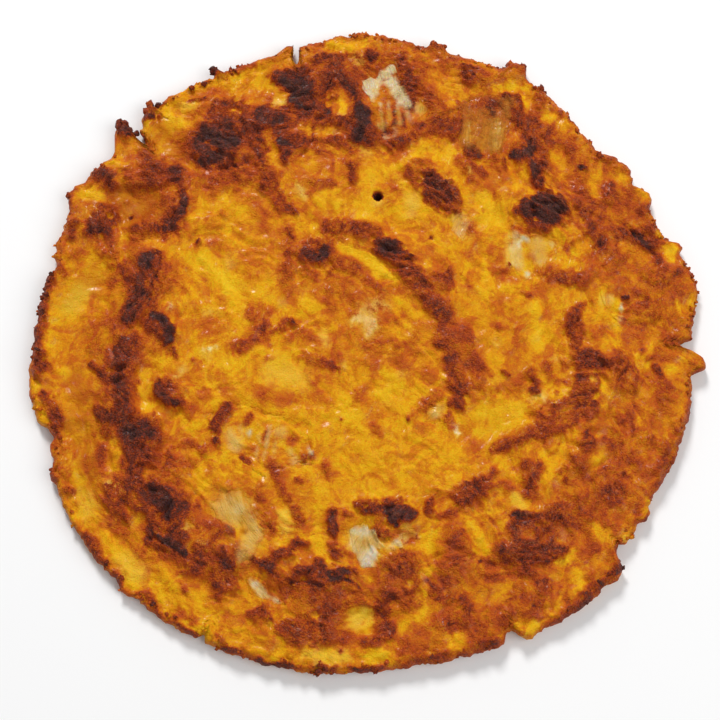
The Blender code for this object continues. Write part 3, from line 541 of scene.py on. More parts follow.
    (0.97, 1, (-83, 8, 1.2), (-79.5, 6.5, 1.4), (-77, 3, 1.6), (-76, -2, 1.2)),
    (0.72, 0.8, (-75, -5, 0.8), (-74.3, -8.5, 0.6)),
    (0.66, 2.2, (-97, -6, 3.4), (-90, -2, 3), (-94, -12, 4), (-96, -19, 4), (-94, -28, 4), (-90, -38, 5)),
    (0.78, 1.8, (-97, -6, 2.2), (-93, -3.5, 2.6), (-90, -1.5, 1.6)),
    (0.78, 1.6, (-93, -8, 1.8), (-96, -12, 2)),
    (0.82, 1.6, (-97, -17, 2.4), (-94, -21, 2.2), (-93, -26, 2), (-93, -31, 2.2)),
    (0.9, 1.8, (-92, -36, 2.6), (-89, -40, 3.2), (-87, -44, 2.6)),
    (0.72, 1.4, (-106, -12, 1.5), (-102, -15, 1.6), (-99.5, -18, 1.5)),
    (0.8, 1.5, (-103, -29, 1.4), (-100, -32, 1.9), (-97, -33, 1.8)),
    (0.54, 1.5, (-101, -25, 1.5), (-98, -27, 1.6)), (0.68, 1.6, (-99, -37, 1.4), (-97, -41, 1.9)),
    (0.66, 2, (-86, -33, 1.8), (-82, -35, 2.6), (-81, -40, 2.6)),
    (0.86, 1.4, (-84, -36, 1.6), (-82.5, -38.5, 1.9)),
    (0.15, 1.8, (-85.5, -16, 2), (-85, -22, 2.8), (-84, -28, 2.4)),
    (0.6, 1.6, (-78, -19, 2.4), (-74, -20, 2.8), (-74, -25, 2.8)),
    (0.68, 1.8, (-77, -19, 2.6), (-75, -24, 3.6), (-72, -27, 2.4)),
    (0.86, 1, (-80, -18, 1), (-79.5, -22, 1.5), (-77, -26, 1.2), (-73, -27.5, 1.2)),
    (0.5, 1.6, (-70, -21, 1.7)), (0.46, 2, (-64, -24, 2), (-60, -22, 1.8)), (0.78, 0.9, (-67.5, 38.5, 1.2)),
    (0.5, 1.5, (-63, 37, 1.1), (-60, 39, 1.2)), (0.37, 2.2, (-86, 38, 2.2), (-80, 37, 2.2), (-73, 36, 2)),
    (0.08, 3, (-65, 30, 3.6), (-60, 27, 4.4), (-55, 21, 4.4), (-51, 18, 3)),
    (0.36, 1.6, (-67, 14, 1.5), (-66, 11, 1.3)), (0.47, 1.8, (-64, 6, 1.7), (-57, 6, 1.7)),
    (0.42, 1.8, (-65, 3, 1.6), (-59, 2, 1.6)), (0.2, 2.4, (-68, -2, 2.4), (-57, -8, 3), (-51, -14, 3)),
    (0.68, 0.6, (-67, -9.6, 0.6)), (0.25, 2, (-80, -10, 2), (-72, -11, 2)),
    (0.54, 1.8, (-50, -5, 2), (-46, -4.5, 2)), (0.66, 1.6, (-58, -35, 2.4), (-54, -29, 2.4)),
    (0.78, 1.3, (-58.5, -33.5, 1.3), (-55.5, -30.5, 1.1), (-53, -28, 1.1)), (0.78, 1.1, (-58, -37, 1.4)),
    (0.82, 0.9, (-58, -41.6, 1.1)), (0.54, 1.5, (-74, -45, 1.8), (-69, -42, 2.2), (-63, -44, 2)),
    (0.38, 1.2, (-69, -46.5, 1.6)), (0.5, 1.2, (-70, -49.5, 1.6), (-64, -48.5, 1.4)),
    (0.24, 2, (-66, -33, 2.2)),
    # far right
    (0.28, 1.8, (46, 114, 1.8), (50, 112, 1.6)), (0.56, 1.8, (46, 109, 2.2), (49, 107, 1.8)),
    (0.12, 1.8, (53, 104, 1.8), (59, 103.5, 2.2), (65, 102, 2)),
    (0.5, 1.5, (57, 112.5, 1.8), (61, 112, 1.8)), (0.6, 1.2, (63.5, 112.5, 1.2)),
    (0.47, 1.8, (60, 109, 1.8), (64, 108, 1.8), (67.5, 106, 1.6)),
    (0.66, 1.6, (70, 102, 1.5), (69, 97, 2.2)), (0.2, 1.6, (63, 99, 1.6), (64, 96, 1.5)),
    (0.7, 0.9, (56, 99.5, 0.8), (59.5, 98.5, 0.9)),
    (0.73, 1.4, (61.5, 93, 1.3), (61.5, 89, 1.8), (60, 85.5, 1)),
    (0.62, 2, (66, 90, 1.8), (68, 86, 2.4), (66, 82.5, 2.4)), (0.8, 1.3, (65.5, 79, 1.6), (66, 76, 1.8)),
    (0.23, 2, (73, 91, 2), (77, 88, 2.2)), (0.54, 1.8, (72, 84.5, 2.2)),
    (0.22, 1.2, (76, 97, 1.1), (79, 93.5, 1)), (0.62, 0.8, (77, 93, 0.8)), (0.7, 1, (82, 90, 1.2)),
    (0.72, 1.1, (80, 76.5, 1.3)), (0.56, 1.2, (80.5, 73, 1), (79.5, 70, 1)),
    (0.96, 0.6, (84.3, 69, 0.7), (86, 69.3, 0.6)), (0.35, 1.8, (60, 84, 1.5), (57, 82, 1.8)),
    (0.66, 1.5, (58, 76, 1.4), (62, 77.5, 1.4)),
    (0.93, 1.2, (57.5, 74, 1.2), (61, 73.5, 1.6), (65, 75, 1.6)), (0.62, 1, (55, 73, 0.9), (54, 68, 0.9)),
    (0.66, 1.6, (69, 79, 1.3), (71, 73, 1.8), (69, 70, 2)),
    (0.76, 1.6, (66, 70, 1.4), (67.5, 66, 2), (68, 61.5, 1.8)),
    (0.28, 2, (75, 73, 1.8), (77, 69, 2.4), (76, 65, 1.6)), (0.55, 1.8, (74, 64, 1.8), (77, 61, 1.8)),
    (0.68, 2, (59, 51, 2.4), (63, 47, 2.4), (70, 45, 2.6), (77, 48, 2.2), (78, 53, 1.6)),
    (0.94, 1.8, (62, 53, 1.8), (66, 54, 2.6), (71, 56, 2.6), (75, 52, 3)),
    (0.97, 1.8, (64, 50, 2.2), (69, 50.5, 3.4), (73, 48.5, 2.4)),
    (0.12, 2.2, (47, 57, 2.6), (49, 51, 2.6), (46, 47, 2.4)), (0.36, 2, (55, 62, 1.8), (58, 66, 2.2)),
    (0.52, 1.5, (88, 79, 1.2), (92, 77, 1.4), (97, 75, 1.4), (102, 72, 1.4)),
    (0.64, 1, (92, 73, 1), (97, 72.7, 0.9)), (0.54, 2, (85, 64, 2.2), (82, 61, 2)),
    (0.72, 0.7, (92, 62.5, 0.8)), (0.76, 0.7, (97, 61.5, 0.8)), (0.33, 1.6, (97, 65, 1.6), (101, 64, 1.4)),
    (0.63, 1.8, (95, 55, 2.3), (97, 57.5, 1.4)), (0.66, 1.8, (83, 52, 1.6), (86.5, 50, 2.3)),
    (0.19, 1.6, (108.5, 60, 1.6), (110.5, 57, 1.6)), (0.6, 1.5, (109.5, 53, 1.6), (107, 48, 1.8)),
    (0.34, 1, (112.5, 49, 1)), (0.34, 2.4, (92, 67, 2.4), (90, 58, 2.2)),
    # right
    (0.16, 2, (66, 37, 3), (72, 36, 2.6), (67, 31, 2.6), (58, 34, 2.4), (62, 26, 2.4)),
    (0.4, 1.5, (64, 31.5, 1.2)), (0.7, 0.6, (55.7, 29, 0.6)),
    (0.48, 2, (49, 37, 2), (51, 33, 2.6), (52, 28, 2), (54.5, 25, 1.4)),
    (0.14, 2, (46, 24, 2.4), (46, 18, 2.2)), (0.18, 1.5, (50, 21, 1.3), (57, 18.5, 1.7)),
    (0.56, 1.2, (60.5, 18, 1), (63, 16, 1.4)), (0.38, 2.4, (52, 9, 2.6), (60, 7, 2.4)),
    (0.56, 1, (51, 3.5, 1.1)), (0.46, 1.8, (55, -4, 1.6), (57, -2, 1.6)),
    (0.14, 2.4, (66, 12, 2), (67, 5, 2.8), (67, -2, 3.2), (67, -5, 2.2)), (0.17, 1.6, (73, -8, 1.6)),
    (0.6, 1.5, (80, 37.5, 1.4), (78, 34, 1.6)), (0.28, 2.4, (83, 33, 2.6), (76, 31, 2)),
    (0.66, 1.6, (88, 45, 2), (88, 41, 2)), (0.75, 1.5, (90, 39, 1.6), (91, 35.5, 2)),
    (0.5, 1, (95, 41, 0.8), (96, 36, 1)), (0.38, 2, (100, 36, 2.4)),
    (0.66, 1.8, (100, 42, 1.8), (105, 40, 2.2), (109, 37, 2.6), (113, 36, 1.6)),
    (0.84, 1.1, (107.5, 40, 1.1), (110.5, 35, 1.5)), (0.56, 2, (107, 31, 2.2), (112, 28, 2.6)),
    (0.15, 1.8, (117, 34, 1.6), (120.5, 35, 1.8), (119, 31, 1.5)),
    (0.3, 0.9, (114.5, 42, 0.9), (115.3, 39, 0.9)),
    (0.53, 2.2, (68, 25, 2.4), (75, 24.5, 3.6), (83, 24, 3.2)),
    (0.58, 2, (69, 24.5, 1.6), (75, 25.5, 2.4), (82, 24.5, 2.4), (76, 22, 2)),
    (0.66, 1.4, (73, 23, 1.2), (79, 21.5, 1.5)), (0.48, 1.6, (76, 28.7, 1.5)),
    (0.46, 3, (88, 28, 3), (93, 25, 3.4), (96, 20, 3)),
    (0.54, 2.6, (100, 26, 2.6), (108, 23, 3.4), (116, 22, 3.4)), (0.53, 2, (118, 26, 2.4), (120, 18, 2.4)),
    (0.42, 1.8, (124.5, 22, 1.8)), (0.63, 1.3, (104, 17, 1.3), (108, 17.5, 1.2)), (0.7, 1.5, (108, 13, 1.8)),
    (0.98, 0.5, (99.3, 15, 0.6), (100.8, 15.2, 0.5)), (0.16, 1.6, (90, 16, 1.8), (91, 12.5, 1.5)),
    (0.21, 1.3, (96.5, 14, 1.4), (96.5, 4, 1.4)), (0.29, 2, (91, 9, 2), (88, 6, 1.8)),
    (0.6, 2, (86, 13.5, 1.6), (82, 11, 2.2), (80, 6, 3), (80, 0, 3.2), (80, -7, 2)),
    (0.7, 1.3, (81, 9, 1.3), (79, 4, 1.3), (79, -1, 1.2)), (0.5, 1.8, (92, 2, 1.8), (88, 0, 2)),
    (0.5, 2, (103, 4, 4), (102, 9, 2)), (0.36, 1.6, (104, 4, 1.7)), (0.2, 2, (122, 12, 1.8), (126, 13, 2)),
    (0.56, 2.2, (118, 6, 2.6), (117, 0, 2.6), (117, -4, 2.2)), (0.36, 2.2, (108, -4, 2.6), (103, -3, 2)),
    (0.26, 2.2, (92, -5, 2.4), (95, -3, 2)), (0.23, 2, (103, -9, 2), (106, -12, 2.4)),
    (0.66, 2, (82, -10, 2.4), (87, -7, 3), (91, -12, 2.6), (98, -12, 2.2)),
    (0.68, 2.4, (84, -9, 4.6), (86, -15, 4.4), (83, -21, 4.4), (81, -28, 4)),
    (0.76, 2, (83, -9, 1.8), (87, -8.5, 2.6), (90.5, -11.5, 1.4)),
    (0.78, 1.8, (82, -17, 1.8), (86, -21, 1.8)),
    (0.36, 0.8, (79, -15.5, 0.4), (84, -13.5, 0.5), (90, -14.5, 0.4)),
    (0.72, 1.8, (81, -18, 1.8), (86, -20, 2.4), (84, -23, 2)), (0.38, 1, (86.3, -17, 1.2)),
    (0.55, 1.3, (77, -19, 1), (70, -16, 1.4), (69, -12, 1.6)), (0.62, 1.6, (63, -15, 1.8), (64, -20, 1.9)),
    (0.8, 1, (62.5, -21, 0.8), (65, -22, 0.8)), (0.46, 1.6, (58, -21, 1.6), (60, -18, 1.2)),
    (0.2, 0.7, (60, -24.5, 0.5), (65, -25.5, 0.7), (67, -23.5, 0.7)), (0.64, 0.7, (72.5, -22, 0.8)),
    (0.64, 0.6, (52, -14, 0.5), (54.5, -15.8, 0.7)), (0.7, 1.6, (79, -25, 1.8), (72, -28, 1.4)),
    (0.8, 1.5, (86, -28.5, 2.2), (83, -31, 1.6)), (0.74, 1.5, (80, -32, 1.7), (77, -35, 1.4)),
    (0.27, 1.8, (91, -23, 1.4), (92, -26, 1.3)), (0.52, 2, (65, -31, 2.2), (69, -33, 2)),
    (0.58, 2, (84, -30, 3.2), (75, -33.5, 3.4), (66, -36.5, 3), (57, -40, 2.8), (49, -44, 2.2)),
    (0.6, 1.6, (47, -45, 1.4), (52, -42, 1.5), (58, -39, 1.6), (66, -38, 1.9), (74, -37.5, 1.5)),
    (0.68, 2, (83, -38, 2.4), (84, -43, 2.6)), (0.6, 1.8, (99, -31, 1.8), (96, -33.5, 2)),
    (0.28, 2, (104, -33, 2.2)), (0.62, 1.2, (90, -39.5, 1.2)),
    (0.6, 2.2, (113.5, -21, 2.4), (113, -27, 3), (111, -31, 2.2)),
    (0.82, 1, (111, -13, 1), (113, -15.5, 1.1)), (0.74, 0.5, (119.3, -8.6, 0.6)),
    (0.6, 1.8, (117, -36, 2.2)), (0.64, 1.8, (106, -42, 1.8), (112, -43.5, 2), (116, -42, 1.6)),
    (0.2, 1.8, (115, -14, 1.6), (120, -10.5, 1.7)), (0.42, 1.5, (126, -7.5, 1.8)),
    (0.56, 1.3, (123.5, -12.7, 1.4)), (0.12, 2.6, (42, -32, 2.4), (48, -31, 3.6), (56, -28, 3)),
    (0.13, 2.2, (57, -32, 2.6), (50, -36, 2.6), (43, -38, 2.2)),
    # low on the left
    (0.13, 2.2, (-110.5, -50, 2), (-108.5, -57, 2.4), (-106, -63, 3), (-105, -68, 2.8)),
    (0.6, 1.6, (-120.5, -52, 1.6), (-118.5, -55, 1.5)), (0.66, 0.8, (-122, -54, 0.8), (-120.5, -57.5, 0.7)),
    (0.6, 1.3, (-114.5, -60.5, 1.2), (-112, -60.3, 1)), (0.64, 0.8, (-111.5, -68.5, 1)),
    (0.58, 2, (-105, -77, 1.8), (-102.5, -80, 2.2), (-100, -84, 2)),
    (0.66, 1.4, (-104, -80, 1.2), (-101, -85.5, 1.2), (-97.5, -88.5, 1.4)),
    (0.62, 1.4, (-94.5, -91.5, 1.4), (-92.5, -95, 1.5), (-90, -98.5, 1.2)),
    (0.1, 2.2, (-97, -77, 1.8), (-94.5, -82, 2.2), (-91, -87, 3), (-86, -91, 3.4), (-87, -95, 2.4)),
    (0.16, 1.8, (-80, -96.5, 1.8), (-76.5, -100.5, 1.8), (-73, -104, 1.6)),
    (0.56, 1.4, (-87.5, -99.7, 0.9), (-82, -98.8, 1.2), (-79, -102.5, 1.6), (-77, -106.5, 1.3)),
    (0.38, 1.2, (-82, -90, 0.8), (-84, -95, 0.8)),
    (0.48, 2, (-96, -72, 1.6), (-90, -78, 1.6), (-83, -86, 1.6)),
    (0.6, 2.2, (-97, -58, 2.2), (-97, -64, 3), (-94, -68, 2.8), (-90, -72, 1.8)),
    (0.66, 1.6, (-92, -63, 2.4), (-89, -66, 2)), (0.34, 1.8, (-97, -44, 3), (-97, -50, 4), (-98, -54.5, 2)),
    (0.8, 2.2, (-89, -43, 3), (-87, -48.5, 3.6), (-83, -46, 2)),
    (0.82, 1.8, (-88, -51, 2.8), (-88, -57, 2.6), (-90, -59, 1.8)),
    (0.8, 2, (-85, -61, 2.2), (-82, -64, 2.6)),
    (0.92, 1.8, (-80.5, -60, 2.2), (-77, -61, 2.8), (-75, -66, 3.2), (-75, -71, 2.2)),
    (0.99, 1.4, (-79, -65, 1.7), (-76.5, -65.5, 2.2), (-76, -69, 1.4)),
    (0.74, 1, (-87, -67.7, 0.9), (-83.5, -67.8, 1)),
    (0.36, 1.8, (-86, -71.5, 2.4), (-87, -75, 1.8), (-84.5, -78, 1.4)),
    (0.72, 1.2, (-81.2, -71, 1.2), (-81, -75, 1), (-82, -79, 1.4)),
    (0.84, 1.6, (-71, -75, 2.2), (-69, -79, 1.8), (-74, -77.5, 1.6)),
    (0.6, 1.4, (-77.5, -73.5, 1.8), (-76, -75.5, 1.2)),
    (0.97, 0.9, (-78, -77.5, 0.8), (-74, -80, 1.2), (-70.5, -82, 1.4), (-67.5, -84.5, 1)),
    (0.6, 1.8, (-79, -82, 1.8), (-75, -84.5, 1.5)), (0.4, 1.4, (-75, -88, 1.6)),
    (0.64, 1.8, (-70, -62.5, 1.3), (-68, -66, 2.2), (-67, -70, 1.8)), (0.62, 0.9, (-63, -66.5, 1)),
    (0.4, 1.5, (-67.5, -73.5, 1.5), (-64, -76, 1.5)), (0.46, 1.8, (-65, -81, 1.6)),
    (0.69, 1.6, (-62.5, -82.5, 1.8), (-63, -86, 1.5), (-61.5, -88, 1.2)),
    (0.6, 1.8, (-66, -88.5, 1.4), (-63, -91.5, 1.6), (-70, -91.5, 1.5)),
    (0.62, 0.8, (-70, -94.5, 0.7), (-68, -98, 0.8)),
    (0.28, 2, (-67, -94.5, 1.8), (-62, -95.5, 2), (-64, -100, 2)),
    (0.66, 1.6, (-57, -78, 1.6), (-54.5, -75.5, 1.1), (-50.5, -75, 1)),
    (0.6, 1.6, (-57.5, -82.5, 1.6), (-58, -88, 1.6)), (0.4, 1.6, (-52.5, -79.5, 1.9), (-51.5, -82, 1.3)),
    (0.62, 0.9, (-48.5, -79, 0.7), (-49.5, -83, 0.8)),
    (0.78, 1.8, (-54, -85.5, 1.4), (-52, -89, 2.4), (-52, -94, 2.2), (-56, -96, 1.6)),
    (0.9, 1.1, (-53, -87, 1.1), (-51, -89.5, 1.2)),
    (0.66, 1.6, (-57, -92, 1.5), (-48, -93.5, 1.5), (-55, -99.5, 1.4)),
    (0.54, 1.8, (-58, -104, 1.8), (-52.5, -101, 1.4)),
    (0.28, 2, (-50, -103, 1.8), (-56, -108, 2.2), (-48, -113.5, 2)),
    (0.52, 1.8, (-72, -107, 1.6), (-68, -107, 2), (-64, -109, 1.4)),
    (0.7, 0.8, (-70, -110.5, 0.6), (-66, -113, 0.8), (-62.3, -114.3, 0.8)), (0.58, 1.6, (-54.5, -115, 1.7)),
    (0.78, 0.8, (-54, -118.5, 0.6), (-49, -119.5, 0.9)),
    # low in the middle
    (0.5, 2.4, (-37, -49, 2), (-35, -53, 2.8), (-33, -58, 2.2)),
    (0.55, 1.8, (-31.5, -61.5, 1.7), (-29, -64, 1.6)), (0.55, 1.8, (-27, -67.5, 1.5), (-25.5, -72, 1.8)),
    (0.56, 1.4, (-24, -48.5, 1.8), (-21, -47, 1)), (0.58, 1.2, (-26, -56.5, 1.1), (-24, -57.5, 1)),
    (0.5, 2, (-17, -50, 2), (-14, -54, 2.2)), (0.48, 2, (-38, -66, 2.2), (-41, -59, 2.2)),
    (0.64, 0.9, (-37, -73, 0.9), (-35.5, -76, 0.9)), (0.14, 2, (-32, -70, 1.8), (-31, -75, 1.8)),
    (0.16, 2, (-18, -61, 1.8), (-18.5, -68, 1.8), (-19, -76, 2.2), (-17, -82, 1.8)),
    (0.22, 2, (-24, -78, 1.8), (-40, -82, 1.6)),
    (0.7, 1.8, (-41, -87.5, 1.8), (-37, -87.5, 2), (-35, -86, 1.3)),
    (0.9, 1.2, (-39, -89, 1.3), (-36, -89.5, 1.2)),
    (0.68, 1.6, (-34, -84.5, 1.5), (-30, -83, 2), (-27, -80.5, 1.4), (-23.5, -81, 1)),
    (0.36, 1.4, (-29.5, -88.5, 1.4)),
    (0.74, 1.6, (-26, -91, 1.6), (-22, -90, 2), (-18, -88, 1.8), (-17, -92, 2)),
    (0.66, 1.6, (-13, -83, 2), (-9, -84.5, 1.8), (-13, -87, 1.4)),
    (0.76, 1.4, (-24, -95, 0.9), (-18, -95.5, 1)),
    (0.88, 1.2, (-12, -92.5, 1.6), (-8.5, -90.5, 1.8), (-6, -91.5, 1)),
    (0.98, 0.8, (-14.2, -91, 0.9), (-14, -94.2, 0.9), (-10, -93.4, 0.7)),
    (0.82, 0.8, (-8.5, -93.5, 0.7), (-5, -95.5, 0.8), (-2.5, -97, 0.7)),
    (0.66, 2, (-6, -97.5, 2), (-10, -98, 1.8), (-7, -101.5, 1.8), (-12, -102, 1.8)),
    (0.8, 1.4, (-13.5, -69.5, 1.8), (-12.5, -73, 1.7), (-12, -76.5, 1.2)), (0.94, 0.9, (-13.6, -70.6, 1)),
    (0.56, 1.4, (-8, -69, 1.4), (-4, -70.5, 1)),
    (0.66, 1.6, (-4, -66, 1.4), (0, -65, 1.2), (6, -64.2, 1), (13, -64.6, 1)),
    (0.82, 1.5, (-2, -68, 1.2), (2, -68, 1.5), (7, -67, 1.9), (13, -67.5, 2), (17.5, -69, 1.4)),
    (0.95, 1.3, (6, -68.5, 1.1), (10, -69.5, 1.8), (15, -70.5, 1.6)),
    (0.99, 1, (8.5, -71.5, 1.1), (10.8, -73.5, 1)), (0.54, 1.2, (3, -71.5, 1.6), (5, -70.5, 1)),
    (0.68, 1.4, (2.5, -74.5, 1.3), (5, -77, 1.4), (8, -76, 1.2)),
    (0.4, 1.6, (13, -75.5, 1.8), (17, -74.5, 1.5)), (0.6, 0.6, (18.6, -75, 0.5), (18.2, -78, 0.5)),
    (0.34, 1, (6, -81.5, 1.4), (4, -87.5, 1)), (0.13, 2, (22, -80, 2.2), (24, -77, 1.6)),
    (0.62, 2, (22, -67, 2), (23.5, -63.5, 1.8), (25.5, -61.5, 1.2)), (0.54, 2, (28, -70, 2), (32, -68, 2)),
    (0.6, 1.8, (35, -59, 1.6), (35, -66, 1.8)), (0.62, 2.2, (31, -63, 2), (38, -60.5, 4), (44, -57.5, 3)),
    (0.74, 1.6, (38, -57.5, 1.5), (42, -59, 1.8), (38, -61.5, 1.8), (37, -65, 1.2)),
    (0.13, 2, (39, -73, 2), (42, -78, 2.6), (43, -84, 2)),
    (0.58, 1.8, (31, -77, 1.8), (35, -77, 1.6), (36, -82, 1.8)),
    (0.7, 1.4, (31.5, -79.5, 1.5), (34, -81, 1.6)), (0.52, 2, (37, -87, 2), (41, -90, 2.2)),
    (0.8, 0.4, (42.3, -87.1, 0.5)), (0.62, 2.2, (6, -88, 2), (10, -85.5, 2.2), (16, -86, 2), (19, -89, 1.4)),
    (0.7, 1.8, (8.5, -90, 2), (13, -90, 2.2), (18, -91.5, 1.6)),
    (0.6, 1.6, (4, -93.5, 1.6), (9, -95, 1.6), (12.5, -95.5, 1.4)),
    (0.78, 1.3, (6.5, -98.5, 1.9), (9.5, -100, 1)), (0.3, 1, (15.5, -95.5, 1.2)),
    (0.66, 1.6, (14, -103.5, 2), (16.5, -101.5, 1.2)), (0.4, 1, (0, -94, 1.4)),
    (0.3, 1.8, (22, -90, 1.6), (22.5, -95, 1.6), (20, -101, 1.8)),
    (0.27, 1.6, (19, -108, 2), (22, -105, 1.4)), (0.55, 2.4, (29, -95, 3), (34, -94, 3), (38, -97, 2.4)),
    (0.62, 1.8, (27.5, -101.5, 1.8), (33, -101.5, 2)),
    (0.7, 1.5, (36, -101, 1.3), (38, -105, 1.8), (36, -109.5, 1.4)),
    (0.6, 1.8, (26, -110, 2), (31, -110, 2)), (0.5, 1.8, (22, -114, 2), (25, -117, 2)),
    (0.23, 1.6, (31, -116.5, 1.8), (34, -114.5, 1.6)),
    (0.62, 1.8, (18, -122, 2.2), (24, -122, 2), (29, -121, 1.6)),
    (0.64, 1.4, (39, -117, 1.3), (43, -116.5, 1.3)), (0.17, 1.8, (12, -112, 2.2), (14.5, -109.5, 1.2)),
    (0.44, 2, (8, -120, 2.4)), (0.6, 2.6, (-30, -97, 3), (-24, -101, 5), (-14, -100, 5), (-7, -99, 4)),
    (0.62, 2.6, (-30, -112, 4), (-20, -111, 6), (-12, -108, 4)),
    (0.6, 2.4, (-28, -94, 2), (-25, -98, 3), (-20, -101, 2.6)),
    (0.56, 2.2, (-27, -104, 2.6), (-22, -106, 2.2)), (0.7, 2, (-20, -97, 1.6), (-20.5, -102, 1.4)),
    (0.7, 2.4, (-31, -112, 2), (-27, -111, 2.6), (-27, -116.5, 2)),
    (0.68, 2.6, (-22, -111, 2.6), (-16, -105, 2.6), (-13, -110, 3.2), (-16, -115, 3)),
    (0.6, 1.8, (-8, -106, 1.4), (-9, -115, 2)), (0.34, 1, (-18.7, -107.3, 1.2)),
    (0.7, 1.8, (-43, -106.5, 1.9), (-39, -105, 1.9), (-36.5, -108, 1.5)),
    (0.42, 2, (-40, -112, 2), (-35, -118, 2)), (0.14, 2, (-43, -117, 2.2), (-38, -119, 1.4)),
    (0.11, 1.8, (-4, -108.5, 3), (0, -107, 3), (-1, -111.5, 2.8)),
    (0.62, 1, (-8, -104.5, 0.8), (-2, -102.5, 0.7), (4, -104, 0.7), (8, -107, 0.8)),
    (0.68, 1.4, (9.5, -110, 1.1), (8, -113, 1.6), (3.5, -116, 1.9), (-1.5, -117, 1.5)),
    (0.72, 1.1, (4.5, -112, 1.1), (6.5, -110, 0.8)),
    (0.13, 1.8, (-23, -121.5, 1.9), (-15, -121.5, 2.2), (-8, -122.5, 2.4), (0, -122, 1.9), (5, -122, 1.5)),
    (0.62, 1, (-10.2, -120.2, 0.6)), (0.84, 1.2, (-40, -123.5, 1), (-34, -125.5, 1.3), (-29, -126, 1.6)),
    (0.74, 0.9, (-17.5, -125.5, 0.7), (-15.5, -126, 1)), (0.6, 1, (-18.5, -128, 1.2), (-12, -126.5, 0.9)),
    (0.64, 0.9, (-8, -125.5, 0.8), (-3, -127, 1.1), (4.5, -126, 1.1)),
    # low on the right
    (0.62, 1.8, (45.5, -57, 1.6), (44, -61.5, 1.4), (48, -53, 1.4)),
    (0.2, 1.8, (53, -53.5, 1.8), (55, -55, 1.4), (49, -48, 1.8)),
    (0.54, 1.6, (50.5, -58.5, 1.6), (54.5, -60, 1.4)), (0.16, 1.4, (55.5, -63.5, 1.6), (57.5, -66.5, 1.5)),
    (0.64, 2, (60, -50.5, 2), (64.5, -51.5, 2.2), (62.5, -56.5, 2.4), (61, -62, 2)),
    (0.28, 1.6, (70, -51, 1.6), (69, -58, 1.8), (69, -63, 1.4)),
    (0.66, 1.4, (73, -54, 1.4), (74.3, -57, 1.3)), (0.66, 1.8, (79, -48.5, 1.6), (82.5, -50.5, 2)),
    (0.25, 2.2, (88, -47, 2.6), (86, -51, 2)), (0.6, 2.2, (84.5, -59, 2), (86.5, -54.5, 2), (91, -54, 2.4)),
    (0.66, 2.2, (88, -61, 3), (93, -59, 2.6), (96, -61, 2)), (0.76, 1.6, (90.5, -60.5, 1.8), (93, -63, 1.9)),
    (0.68, 1.8, (88.5, -64.5, 1.8), (94.5, -65, 1.5)), (0.58, 2, (101, -65, 1.8), (102.5, -67.5, 1.2)),
    (0.36, 1.8, (98.5, -56, 1.6), (99, -51, 1.6)),
    (0.62, 1.8, (105, -54, 2.2), (110, -52, 2.2), (113, -48.5, 2)), (0.74, 1.3, (113, -46.8, 1.5)),
    (0.6, 1.4, (100.5, -46, 1.4)), (0.2, 1.4, (106.5, -64.5, 1.2), (104.8, -68.5, 0.9)),
    (0.2, 1.4, (102.5, -73, 1.1), (98.5, -76.5, 1.2), (96, -80, 1.3), (95, -84, 1.2)),
    (0.7, 0.6, (105.8, -69.8, 0.5), (104, -72, 0.5)), (0.56, 2, (88, -71, 2), (93, -70, 1.8)),
    (0.64, 1.8, (82, -76.5, 1.6), (84, -79.5, 1.8), (85, -83, 1.6)),
    (0.32, 1.6, (85.5, -74.5, 1.4), (90, -78, 2)),
    (0.7, 2.2, (55, -70, 2), (59, -72.5, 2.4), (65, -71, 2.4), (71, -69, 2.6), (73.5, -66, 1.6)),
    (0.74, 2, (55, -74, 2), (56.5, -79, 1.8), (62, -80, 2.4), (62, -75, 2)),
    (0.64, 2, (67, -75, 2.6), (68, -79, 2)), (0.5, 1.3, (58.5, -76.3, 1.6), (61, -77.4, 1.2)),
    (0.8, 1, (53.5, -69.5, 0.9), (71.5, -70.5, 1), (74, -72.5, 0.9)),
    (0.72, 2.2, (70, -83, 2.6), (65, -84, 2.6), (60, -86, 2.6), (55, -86, 2.2), (51, -87, 1.6)),
    (0.78, 1.1, (50, -83.5, 1.1), (74, -82.5, 1.2), (72, -85.5, 1.1), (66, -87.3, 0.9)),
    (0.66, 1.8, (57, -90, 1.8), (61, -91, 1.4)), (0.4, 1.4, (74.5, -78, 1.6), (71, -79.8, 0.8)),
    (0.18, 1.4, (70, -88, 1), (74, -87, 1.4), (76.5, -83.5, 1.1)), (0.48, 1.8, (73, -92, 2), (69, -95, 1.8)),
    (0.26, 1.8, (79, -91, 1.8), (79.5, -95.5, 1.8), (76, -98.5, 1.6)),
    (0.6, 2, (84, -93.5, 1.9), (87, -91, 1.9), (82, -97, 1.6)),
    (0.76, 1, (94, -88.6, 1), (91, -91.5, 1.1), (87, -94.8, 1.1), (85, -98, 1)),
    (0.92, 0.6, (95.6, -88.8, 0.6), (92.5, -92, 0.6)), (0.72, 1.1, (78.5, -99.2, 0.8), (82, -99, 0.9)),
    (0.9, 0.9, (82, -101, 0.9), (79.5, -104, 1), (77, -106.5, 0.9)),
    (0.66, 1.6, (78, -102.5, 1.5), (75, -106.5, 1.4)), (0.28, 2.2, (70, -102, 2.6), (66, -105, 2)),
    (0.62, 2.2, (56, -97, 2), (60, -98, 2.2), (57, -102, 2.4)),
    (0.74, 1.2, (63.3, -95.5, 1.1), (64.5, -98.5, 1)), (0.66, 1.8, (51, -108, 2), (54, -105.5, 1.6)),
    (0.26, 2, (50, -96, 1.6), (50, -101.5, 2)), (0.56, 1.8, (46, -110, 1.9), (45, -103, 1.6)),
    (0.16, 1.3, (58.5, -114.2, 1.5), (60.5, -111.5, 1.3), (66, -108.5, 1.2)),
    (0.2, 1.3, (50.5, -114, 1.3), (57, -110, 1.3)), (0.74, 1, (44.5, -118.5, 1), (47.3, -116.6, 0.9)),
    (0.76, 1.5, (41.5, 75.5, 2.4), (45, 74, 1.2)),
